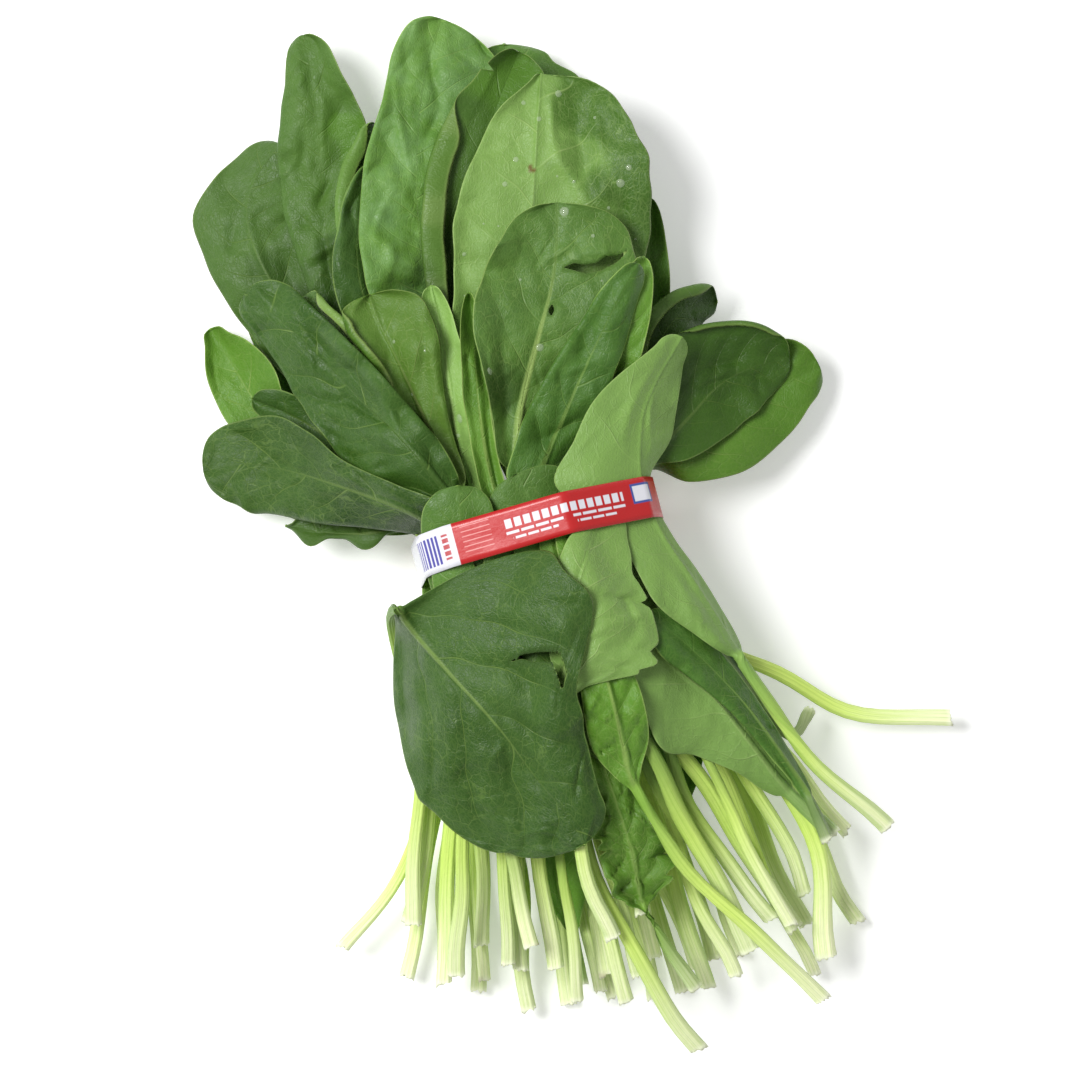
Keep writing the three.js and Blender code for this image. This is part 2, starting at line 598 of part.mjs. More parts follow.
// How far what passes through the tie reaches from a centre, in x and z, in each of the directions.
function waistReach(leaves, centre, directions) {
  const reach = directions.map(() => -Infinity);
  for (const triangle of leaves.flatMap(sheetTriangles)) {
    for (const side of [-1, 1]) {
      overTriangle(triangle.map((p) => face(p, side)), (x, y, z) => {
        const middle = tieMiddle(z);
        if (Math.abs(y - middle) > TIE_WIDTH / 2 + 1 || Math.abs(x) > WAIST_HALF_WIDTH) return;
        directions.forEach(([dx, dz], i) => {
          reach[i] = Math.max(reach[i], (x - centre[0]) * dx + (z - centre[1]) * dz);
        });
      });
    }
  }
  return reach;
}

// A flat strip closed round the bunch, standing off the outermost stalks by the slack.
function tieGeometry(leaves) {
  const [right, up, left] = waistReach(leaves, [0, 0], [[1, 0], [0, 1], [-1, 0]]);
  const centre = [(right - left) / 2, up / 2];
  // The reach in each direction, and the corner where neighbouring tangent lines meet.
  const angles = Array.from({ length: TIE_SIDES }, (_, i) => (2 * Math.PI * (i + 0.5)) / TIE_SIDES);
  const reach = waistReach(leaves, centre, angles.map((a) => [Math.cos(a), Math.sin(a)]))
    .map((distance) => distance + TIE_SLACK);
  const corner = (i, extra) => {
    const j = (i + 1) % TIE_SIDES;
    const [a, b] = [angles[i], angles[j]];
    const [p, q] = [reach[i] + extra, reach[j] + extra];
    const det = Math.sin(b - a);
    const x = (p * Math.sin(b) - q * Math.sin(a)) / det;
    const z = (q * Math.cos(a) - p * Math.cos(b)) / det;
    return [centre[0] + x, Math.max(extra > 0 ? 0 : TIE_THICK, centre[1] + z)];
  };
  const rings = [];
  for (const [extra, end] of [[0, -1], [0, 1], [TIE_THICK, 1], [TIE_THICK, -1]]) {
    rings.push(angles.map((_, i) => {
      const [x, z] = corner(i, extra);
      return [x, tieMiddle(z) + (end * TIE_WIDTH) / 2, z];
    }));
  }
  const indices = [];
  for (let r = 0; r < 4; r++) {
    for (let i = 0; i < TIE_SIDES; i++) {
      const j = (i + 1) % TIE_SIDES;
      const [a, b] = [r * TIE_SIDES, ((r + 1) % 4) * TIE_SIDES];
      indices.push(a + i, a + j, b + i, b + i, a + j, b + j);
    }
  }
  return solid(rings.flat(2), indices);
}

// ---- The bunch ----
const bunch = new THREE.Group();
const heights = new HeightMap();
const laid = LEAVES.map((leaf, i) => {
  const columns = columnsOf(leaf, (i + 0.5) / LEAVES.length, i);
  layDown(columns, leaf.folded, heights);
  return columns;
});

function add(name, geometry, colour, roughness) {
  const material = new THREE.MeshStandardMaterial({ color: colour, roughness, metalness: 0 });
  const mesh = new THREE.Mesh(geometry, material);
  mesh.name = name;
  bunch.add(mesh);
}

LEAVES.forEach((leaf, i) => add(leaf.name, leafGeometry(laid[i]), GREEN[leaf.tone], 0.5));
add("paper_tie", tieGeometry(laid), PAPER_RED, 0.45);

// The origin is the middle of the bunch's footprint, on the table.
const box = new THREE.Box3().setFromObject(bunch);
const middle = box.getCenter(new THREE.Vector3());
bunch.position.set(-middle.x, -middle.y, -box.min.z);

export default bunch;
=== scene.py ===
"""Looks of a bunch of flat-leaf spinach, lying down and held round its stalks by a printed paper tie.

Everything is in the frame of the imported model: +Y from the cut stalks to the leaf tips and +Z up from the
table. Each leaf solid is read back as its stations, from the cut end of the stalk to the tip, and a thin,
veined and puckered leaf is made along the same stations. The leaves are then laid down again, lowest first.
"""

import json
import math

import bmesh
import bpy
import numpy as np
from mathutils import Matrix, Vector
from mathutils.geometry import convex_hull_2d


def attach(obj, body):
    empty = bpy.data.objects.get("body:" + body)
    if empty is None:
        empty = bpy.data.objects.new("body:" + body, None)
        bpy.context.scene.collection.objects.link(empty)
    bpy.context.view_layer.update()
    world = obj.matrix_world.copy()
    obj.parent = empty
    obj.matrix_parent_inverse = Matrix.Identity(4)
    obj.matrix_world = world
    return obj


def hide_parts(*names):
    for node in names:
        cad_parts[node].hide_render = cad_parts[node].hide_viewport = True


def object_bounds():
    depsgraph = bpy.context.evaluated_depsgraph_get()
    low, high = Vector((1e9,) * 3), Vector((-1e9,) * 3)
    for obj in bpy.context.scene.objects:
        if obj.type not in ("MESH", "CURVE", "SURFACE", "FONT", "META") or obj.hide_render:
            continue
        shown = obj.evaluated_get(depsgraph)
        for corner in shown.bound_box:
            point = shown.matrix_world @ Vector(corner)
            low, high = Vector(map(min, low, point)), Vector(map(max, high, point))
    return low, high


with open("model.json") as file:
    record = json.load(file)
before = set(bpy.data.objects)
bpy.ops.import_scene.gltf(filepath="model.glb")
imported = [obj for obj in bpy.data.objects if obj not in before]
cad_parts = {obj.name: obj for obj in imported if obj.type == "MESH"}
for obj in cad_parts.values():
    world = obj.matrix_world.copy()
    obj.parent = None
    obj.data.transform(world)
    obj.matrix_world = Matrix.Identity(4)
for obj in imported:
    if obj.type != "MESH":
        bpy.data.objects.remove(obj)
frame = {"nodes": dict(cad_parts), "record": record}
CAD_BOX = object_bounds()

MM = 0.001  # sizes below are in millimetres

# ---- Leaves ----
RING_POINTS = 8  # round each station of a leaf solid
JOIN = 1e-6  # metres, between the corners of neighbouring triangles
STALK_STEP = 5  # between the stations along a stalk
CUT_STEPS = [0, 0.5, 1.3, 2.6]  # the closer ones at its cut end
TIP_GAP = 0.35  # between the last station and the tip
LAMINA = 0.21  # half the thickness of a blade between its veins
MARGIN_TAPER = 1.3  # width over which the blade thins to its margin
STALK_RIBS = 11
RIB_HEIGHT = 0.022  # of a stalk's ribs, as a share of its radius
STALK_SWAY = 1.1  # how far a stalk wanders to the sides
STALK_SWELL, CUT_FLARE = 0.05, 0.04  # how much its radius varies and widens at its cut end, as shares of it
GROOVE = 0.16  # depth of the channel along the top of a stalk, as a share of its radius
GROOVE_WIDTH = 0.4  # radians
BLADE_FROM = 1.15  # times the radius of its rib: half the width at which a leaf counts as a blade
WAIST = (9, 30)  # distances from the tie over which the leaves are free to ripple
VALLEY_WIDTH = 3.5  # over which a blade rises beside its midrib
BEND_SIZE, BEND_HEIGHT = 26, 1.2  # of a blade's wide soft bends
FOLD_SIZE, FOLD_SHARE = 8, 0.16  # of its sharp little folds, and how narrow they are
PILLOW_HEIGHT = 1.4  # of the pillows between its side veins
PUCKERS = [(7, 0.4), (2.6, 0.1)]  # sizes and heights of the bulges between its small veins
RUFFLE_LENGTH = 21  # of the waves of its margin
VEIN_DRIFTS = [(26, 0.2), (8, 0.06)]  # sizes and amounts of the wandering of its side veins
CREASE_DEPTH = 1.35  # of every crease, times its own depth
MARGIN_WOBBLE = 0.013  # of a blade's half width
WOBBLE_SIZE, NOTCH_SIZE = 7, 6
OVER_RIB, UNDER_RIB = 0.75, 0.9  # how far a midrib stands out of the two faces, as shares of its radius
COLUMN_SHIFT = 0.08  # how much closer the columns are at the midrib and at the margins
CUT_ROUGH = 0.35  # height of the bumps of a cut end
CUT_SLANT = 0.35  # how far it slants, as a share of the stalk's radius
TEAR_MOVE = 0.6  # how far the edge of a tear moves to lie on its outline
CAP_RINGS = [(0.82, 0.12), (0.45, 0.4)]  # shares of the radius and depths of the hollow in a cut end
STALK_TONES = (0.72, 1.0)  # darkest and lightest
MIDRIB_FADE = 0.85  # share of a midrib's paleness that is gone at the tip

# ---- Pile ----
CELL = 0.7  # of the grid that the leaves are laid down on
BORDER = 15  # of the grid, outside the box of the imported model
GAP = 0.12  # between one leaf and the next
BRIDGE = (8, 5)  # stations and columns over which a leaf bridges what lifts it
TIE_UNDER = 0.62  # height of the paper that the leaves in the tie rest on

rng = np.random.default_rng(11)


def smooth(value, low, high):
    """0 below low, 1 above high, and a soft step between them; low may be the greater."""
    share = np.clip((value - low) / (high - low), 0, 1)
    return share * share * (3 - 2 * share)


def ripple(x, y, size, waves=9):
    """Irregular soft relief from about -1 to 1, whose bumps are about one size across."""
    total = 0
    for _ in range(waves):
        angle, phase = rng.uniform(0, 2 * math.pi, 2)
        turns = 2 * math.pi / (2 * size * rng.uniform(0.7, 1.5))
        total = total + np.sin((x * math.cos(angle) + y * math.sin(angle)) * turns + phase)
    return total / math.sqrt(waves)


def through(values, places, at):
    """A smooth curve through the values given at some places, read at others."""
    steps = np.diff(places)
    wide = steps.reshape(-1, *[1] * (values.ndim - 1))
    slopes = np.diff(values, axis=0) / wide
    inner = (wide[1:] * slopes[:-1] + wide[:-1] * slopes[1:]) / (wide[1:] + wide[:-1])
    tangents = np.concatenate([slopes[:1], inner, slopes[-1:]])
    k = np.clip(np.searchsorted(places, at, side="right") - 1, 0, len(steps) - 1)
    h = wide[k]
    u = (at - places[k]).reshape(h.shape) / h
    start = (1 + 2 * u) * (1 - u) ** 2 * values[k] + u * (1 - u) ** 2 * h * tangents[k]
    return start + u * u * (3 - 2 * u) * values[k + 1] + u * u * (u - 1) * h * tangents[k + 1]


def unit(vectors):
    return vectors / np.maximum(np.linalg.norm(vectors, axis=-1, keepdims=True), 1e-9)


# ---- Reading the leaf solids ----
def joined_copy(node):
    """The corners of a node, joined, in millimetres, and its triangles. The node itself stays as it is."""
    mesh = bmesh.new()
    mesh.from_mesh(node.data)
    bmesh.ops.remove_doubles(mesh, verts=mesh.verts, dist=JOIN)
    mesh.verts.index_update()
    corners = np.array([v.co for v in mesh.verts]) / MM
    triangles = [[v.index for v in f.verts] for f in mesh.faces]
    mesh.free()
    return corners, triangles


def stations_of(node):
    """The stations of a leaf solid from its cut end to the tip, each with five points across it, from the
    left margin to the right one, and half its rib's depth."""
    corners, triangles = joined_copy(node)
    third = {}
    for a, b, c in triangles:
        third[a, b], third[b, c], third[c, a] = c, a, b
    ends = np.flatnonzero(np.bincount(np.ravel(triangles)) == RING_POINTS)
    cut, tip = sorted(ends, key=lambda i: corners[i][1])
    following = {i: q for (p, q), i in third.items() if p == cut}
    ring = [max(following, key=lambda i: corners[i][2])]
    while len(ring) < RING_POINTS:
        ring.append(following[ring[-1]])
    rings = [ring[-2:] + ring[:-2]]
    while True:
        a = rings[-1]
        over = [third[a[i], a[(i + 1) % RING_POINTS]] for i in range(RING_POINTS)]
        if over[0] == tip:
            break
        rings.append(over[:4] + [third[over[3], a[4]]] + over[4:7])
    ring = corners[np.array(rings)]
    across = [ring[:, 0], (ring[:, 1] + ring[:, 7]) / 2, (ring[:, 2] + ring[:, 6]) / 2,
              (ring[:, 3] + ring[:, 5]) / 2, ring[:, 4]]
    points = np.stack(across, axis=1)
    depth = np.linalg.norm(ring[:, 2] - ring[:, 6], axis=1) / 2
    points = np.concatenate([points, np.tile(corners[tip], (1, 5, 1))])
    return points, np.append(depth, depth[-1])


# ---- Growing a leaf ----
PLAIN = {
    "under": False,  # the underside faces up
    "folded": False,  # the blade is folded back over the stalk
    "columns": 41,  # across the blade, on its upper and on its lower face
    "step": 1.1,  # between the stations along the blade
    "valley": 0.9,  # how far the blade rises beside its midrib
    "arch": 0.55,  # how far it bulges between its side veins
    "pucker": 0.7,  # how far it bulges between its small veins
    "ruffle": 0.8,  # how far its margin waves
    "ragged": 0,  # depth of the notches in its margin, as a share of its half width
    "veins": 13,  # between its side veins
    "lean": 0.75,  # how far a side vein runs forwards, per mm outwards
    "bend": 1.2,  # how far its middle wanders up and down
    "folds": 0.8,  # depth of the sharp little folds between its veins
    "roll_height": 0.6,  # of a rolled margin, as a share of a round one's
    "rolls": [],  # side, from, to, radius, turn in degrees; a negative turn rolls under
    "creases": [],  # (along, across), (along, across), depth, width
    "tears": [],  # outlines of (along, across)
    "marks": [],  # (along, across), radius, how vivid (partly painted light, partly the leaf's own yellower colour), how dark (painted shade), how brown
    "tint": (1, 0.3, 0.5),  # brightness (partly the leaf's own tone, partly painted light and shade), painted light through the blade, haze
    "show": (0.5, 0.3, 0.14),  # how plainly the midrib, the side veins and the net are seen
    "midrib": 1,  # its width
    "wet": 0,  # water drops
}
HIDDEN = {"columns": 21, "step": 2.2}
LOOKS = {
    "left_leaf_high": {
        "valley": -0.8, "pucker": 0.9, "bend": 2,
        "creases": [((0.77, -0.22), (0.7, -0.5), -1, 1.5), ((0.45, -0.1), (0.8, 0.1), 0.9, 2),
                    ((0.4, 0.2), (0.72, 0.5), -0.8, 2.5)],
        "marks": [((0.45, 0.3), 22, 0, 0.5, 0)], "tint": (0.6, 0.1, 0.8), "show": (0.3, 0.28, 0.1),
    },
    "crown_leaf_tall": {
        "valley": 0.6, "pucker": 1, "bend": 2.2, "rolls": [(-1, 0.2, 0.97, 2.2, -100)],
        "creases": [((0.69, 0.35), (0.62, -0.22), -1.3, 1.3), ((0.52, -0.55), (0.55, 0.45), 1.2, 1.2),
                    ((0.5, -0.4), (0.53, 0.4), -1.1, 1.4), ((0.8, -0.35), (0.68, -0.5), -0.9, 1.6),
                    ((0.4, 0), (0.58, -0.1), -1.2, 2.4), ((0.86, 0.2), (0.72, 0.05), 0.8, 2)],
        "marks": [((0.77, 0.8), 11, 0.9, 0, 0), ((0.47, 0), 14, 0, 0.8, 0)], "tint": (0.68, 0.12, 0.6),
        "show": (0.1, 0.16, 0.08),
    },
    "crown_leaf_curled": {"arch": 0.6, "rolls": [(-1, 0.45, 1.05, 3, 210)], "tint": (0.75, 0.1, 0.3)},
    "crown_leaf_slim": {"pucker": 1.1, "folds": 1.3, "tint": (0.68, 0.05, 0.8)},
    "crown_leaf_back": {
        "columns": 57, "valley": 0.5, "pucker": 1.3, "bend": 2.6, "folds": 1.4,
        "rolls": [(-1, 0.3, 1.02, 1.3, -80)],
        "creases": [((0.93, -0.05), (0.8, 0.3), -1.8, 2), ((0.8, 0.3), (0.72, 0.12), -1.6, 1.8),
                    ((0.85, -0.8), (0.66, -0.12), 0.9, 1.3), ((0.57, -0.55), (0.52, 0), -2, 2.6),
                    ((0.64, -0.8), (0.62, -0.3), 0.9, 1.2), ((0.63, -0.12), (0.63, 0.3), 0.9, 1),
                    ((0.48, -0.6), (0.45, 0.1), 1.3, 2), ((0.43, -0.5), (0.4, 0.1), -1.6, 2)],
        "marks": [((0.42, -0.2), 9, 0, 0.5, 0), ((0.72, 0.3), 8, 0.2, 0.2, 0)],
        "tint": (1.16, 0.02, 3), "show": (0.1, 0.2, 0.1),
    },
    "crown_leaf_back_right": {"arch": 0.3, "bend": 2, "tint": (1.02, 0.1, 1.6)},
    "crown_leaf_rolled": {
        "columns": 57, "arch": 0.15, "pucker": 0.2, "veins": 16, "bend": 0.8, "folds": 0.1,
        "roll_height": 0.25, "rolls": [(-1, 0.12, 0.93, 5.5, 196)],
        "marks": [((0.93, 0.1), 16, 0.9, 0, 0), ((0.75, 0.3), 20, 0.3, 0.1, 0),
                  ((0.45, 0.1), 22, 0, 0.8, 0), ((0.3, -0.95), 11, 0.7, 0.35, 0),
                  ((0.5, -0.95), 11, 0.7, 0.3, 0), ((0.7, -0.95), 11, 0.7, 0.25, 0)],
        "tint": (0.62, 0.05, 0.3), "show": (0.1, 0.12, 0.06),
    },
    "crown_leaf_pale": {
        "under": True, "columns": 65, "valley": -0.6, "arch": -0.4, "pucker": 0.8, "veins": 19, "bend": 2.2,
        "folds": 0.5,
        "creases": [((0.94, 0.15), (0.805, 0.16), 1.2, 1.1), ((0.805, 0.16), (0.66, 0.47), 1.3, 1.1),
                    ((0.935, 0.7), (0.765, 0.59), 1.2, 1.1), ((0.765, 0.59), (0.65, 0.61), 1.2, 1.1),
                    ((0.9, 0.4), (0.72, 0.45), -1.5, 2.4), ((0.7, 0.75), (0.6, 0.8), -1.6, 1.6)],
        "marks": [((0.75, -0.05), 1.4, 0, 0.3, 1), ((0.97, 0.75), 16, 1, 0.85, 0),
                  ((0.88, 0.9), 18, 1, 0.9, 0), ((0.77, 0.95), 18, 1, 0.95, 0),
                  ((0.67, 0.9), 17, 0.9, 1, 0), ((0.93, 0.3), 7, 0.3, 0.35, 0),
                  ((0.8, 0.4), 9, 0.3, 0.4, 0), ((0.7, 0.62), 8, 0.3, 0.5, 0)],
        "tint": (0.8, 0.08, 0.25), "show": (0.75, 0.5, 0.28), "midrib": 0.6, "wet": 1,
    },
    "left_leaf_bright": {
        "valley": 0.8, "marks": [((0.75, 0.5), 12, 0.6, 0, 0)], "tint": (0.73, 0.6, 0.2),
        "show": (0.8, 0.5, 0.2),
    },
    "left_leaf_small": {"pucker": 1, "tint": (0.66, 0, 0.8)},
    "left_leaf_tucked": {"rolls": [(1, 0.5, 1.02, 2, 200)], "tint": (0.8, 0, 0.4)},
    "right_leaf_slim": {"tint": (0.75, 0.3, 0.3)},
    "right_leaf_dark": {"rolls": [(-1, 0.35, 1.02, 2.6, 210)], "tint": (0.6, 0.1, 0.2)},
    "crown_leaf_inner": {"under": True, "pucker": 1, "tint": (1.0, 0, 0.3), "wet": 0.5},
    "crown_leaf_edge_on": {"tint": (0.75, 0.1, 0.5)},
    "crown_leaf_small": {
        "under": True, "valley": -0.5, "arch": -0.4, "pucker": 1, "veins": 16,
        "rolls": [(-1, 0.45, 1.02, 2.4, 190)], "creases": [((0.8, 0.78), (0.55, 0.5), -1.2, 2)],
        "marks": [((0.6, 0), 45, 0.7, 0, 0)], "tint": (0.5, 0.25, 0), "show": (0.85, 0.55, 0.28),
        "midrib": 0.7, "wet": 1.3,
    },
    "left_leaf_long": {
        "columns": 57, "valley": 0.8, "arch": 1.4, "pucker": 1.1, "veins": 17, "bend": 2, "folds": 1,
        "rolls": [(1, 0.05, 1.02, 3.4, -130), (-1, 0.6, 1.02, 2.5, -110)],
        "creases": [((0.62, -0.88), (0.48, -0.2), -1.7, 1.3), ((0.48, -0.2), (0.3, 0.15), -1.4, 1.5),
                    ((0.5, -0.95), (0.38, -0.65), -1.2, 1.2), ((0.38, -0.65), (0.32, -0.3), -1.2, 1.2),
                    ((0.27, -0.78), (0.22, -0.3), -1.4, 1.3), ((0.77, 0.35), (0.6, 0.3), -0.9, 1.6),
                    ((0.6, 0.3), (0.5, 0.8), -0.9, 1.6), ((0.42, -0.5), (0.3, 0.3), 1.2, 2.2)],
        "tint": (0.67, 0.12, 0.2), "show": (0.12, 0.5, 0.16),
    },
    "left_leaf_front": {
        "columns": 57, "arch": 1.1, "pucker": 0.9, "veins": 15, "bend": 1.8,
        "rolls": [(-1, 0.05, 0.85, 2.8, -150)],
        "creases": [((0.7, 0.35), (0.83, -0.35), 0.9, 1.2), ((0.61, 0.22), (0.63, -0.5), 0.9, 1.2)],
        "marks": [((0.35, -0.75), 16, 0, 0.75, 0), ((0.1, -0.5), 14, 0, 0.8, 0)],
        "tint": (0.57, 0.1, 0.1), "show": (0.45, 0.55, 0.32),
    },
    "left_leaf_low": {"pucker": 1, "ragged": 0.8, "folds": 1.6, "tint": (0.5, 0.3, 0)},
    "crown_leaf_front": {
        "columns": 65, "step": 0.8, "valley": 0.8, "arch": 0.5, "pucker": 0.8, "veins": 15,
        "creases": [((0.79, -0.12), (0.86, 0.25), 1, 1.3), ((0.5, -0.6), (0.2, -0.5), -1.2, 3),
                    ((0.82, 0.3), (0.84, 0.9), 1.2, 2)],
        "tears": [[(0.765, 0.1), (0.785, 0.22), (0.783, 0.35), (0.795, 0.5), (0.82, 0.62), (0.822, 0.75),
                   (0.845, 0.93), (0.815, 0.8), (0.795, 0.7), (0.768, 0.52), (0.755, 0.35)],
                  [(0.632, 0.05), (0.612, 0.1), (0.585, 0.09), (0.603, 0.03)]],
        "marks": [((0.3, -0.6), 9, 0, 0.7, 0)], "tint": (0.83, 0.02, 0.8), "show": (1, 0.3, 0.22),
        "midrib": 1.9, "wet": 0.8,
    },
    "right_leaf_curled": {"rolls": [(-1, 0.1, 0.95, 1.8, 160)], "tint": (0.85, 0.3, 0.3)},
    "crown_leaf_diagonal": {
        "valley": 0.5, "arch": 0.8, "pucker": 1, "veins": 15, "rolls": [(-1, 0.1, 0.95, 1.6, -120)],
        "creases": [((0.22, -0.35), (0.37, 0.5), -1, 1.5), ((0.5, -0.5), (0.6, 0.3), 0.8, 1.3)],
        "tint": (1.0, 0.02, 0.6), "show": (0.4, 0.25, 0.1),
    },
    "collar_leaf_left": {"valley": -0.5, "arch": 0.7, "tint": (0.85, 0, 0.8)},
    "collar_leaf_right": {"valley": -0.5, "arch": 0.7, "tint": (0.8, 0, 0.7)},
    "right_leaf_low": {
        "pucker": 0.9, "bend": 2, "creases": [((0.28, 0.65), (0.5, 0.35), -1.2, 2)],
        "marks": [((0.8, 0), 25, 0.8, 0.1, 0)], "tint": (0.64, 0.4, 0.3), "show": (0.3, 0.35, 0.15),
    },
    "right_leaf_broad": {
        "columns": 57, "valley": 0.4, "arch": 0.5, "veins": 9, "bend": 1.5,
        "rolls": [(-1, 0.55, 1.02, 2, 170)],
        "creases": [((0.45, -0.3), (0.85, 0.4), -0.8, 1.4), ((0.4, -0.6), (0.8, -0.2), -0.8, 1.4)],
        "marks": [((0.6, 0), 45, 0.45, 0.1, 0), ((0.62, -0.2), 13, 0.6, 0.65, 0)],
        "tint": (0.54, 0.03, 0), "show": (0.35, 0.4, 0.1),
    },
    "right_leaf_long": {
        "under": True, "columns": 57, "valley": -0.3, "arch": -0.3, "veins": 17, "bend": 1.4, "folds": 0.5,
        "creases": [((0.93, -0.35), (0.5, -0.42), 1.1, 2.2), ((0.5, -0.42), (0.15, -0.3), 0.9, 2.2),
                    ((0.81, 0.12), (0.66, 0.4), 1, 1.2), ((0.66, 0.4), (0.5, 0.3), 0.9, 1.2)],
        "tint": (0.82, 0.02, 0.5), "show": (0.12, 0.3, 0.12), "midrib": 0.35,
    },
    "lower_leaf_behind": {"pucker": 1.3, "folds": 1.5, "tint": (0.85, 0.4, 0.3)},
    "lower_leaf_crumpled": {
        "columns": 57, "valley": 0.5, "arch": 0.9, "pucker": 1.6, "ruffle": 2.2, "ragged": 0.3, "veins": 9,
        "folds": 2.2, "marks": [((0.5, 0), 45, 0.85, 0, 0)], "tint": (0.68, 0.8, 0),
        "show": (0.4, 0.3, 0.3),
    },
    "lower_leaf_grey": {
        "under": True, "columns": 57, "valley": -0.4, "arch": -0.3, "veins": 16, "bend": 1.5, "folds": 0.5,
        "tint": (0.81, 0.02, 0.5), "show": (0.35, 0.4, 0.12), "midrib": 0.5,
    },
    "lower_leaf_slim": {"pucker": 1, "tint": (0.7, 0, 0.4)},
    "lower_leaf_dark": {"pucker": 1, "rolls": [(-1, 0.1, 0.95, 2, -130)], "tint": (1.1, 0, 0.5)},
    "lower_leaf_bright": {
        "columns": 57, "valley": 1, "arch": 0.9, "pucker": 1.2, "veins": 9, "folds": 2.2,
        "creases": [((0.45, -0.6), (0.7, 0.1), 1.3, 1.6), ((0.6, 0.7), (0.75, 0.1), -1.2, 1.8)],
        "marks": [((0.5, 0), 45, 0.75, 0, 0)], "tint": (0.8, 0.5, 0), "show": (0.5, 0.4, 0.2),
    },
    "lower_leaf_pale": {
        "under": True, "columns": 65, "valley": -0.4, "arch": -0.45, "ragged": 0.12, "folds": 1.2,
        "creases": [((0.3, 0.1), (0.5, 0.9), 1, 1.1), ((0.53, 0.35), (0.68, 0.65), 0.9, 1),
                    ((0.15, 0.1), (0.6, 0.15), 1, 1), ((0.4, -0.1), (0.75, -0.5), 0.8, 1)],
        "tint": (0.82, 0.05, 0.3), "show": (0.5, 0.75, 0.3), "midrib": 0.5,
    },
    "lower_leaf_big": {
        "folded": True, "columns": 93, "step": 0.9, "valley": 0.3, "arch": 1.1, "pucker": 1, "veins": 21,
        "lean": 1.1, "bend": 1.5, "folds": 0.9,
        "creases": [((0.05, 0.5), (0.33, 0.9), -1.2, 1.6), ((0.25, -0.6), (0.4, -0.95), -1, 2)],
        "tears": [[(0.375, -0.32), (0.395, -0.4), (0.43, -0.47), (0.465, -0.62), (0.53, -0.74),
                   (0.545, -0.8), (0.515, -0.8), (0.455, -0.68), (0.415, -0.52), (0.385, -0.42)]],
        "tint": (0.66, 0, 0.45), "show": (0.6, 0.5, 0.25), "midrib": 0.9,
    },
}


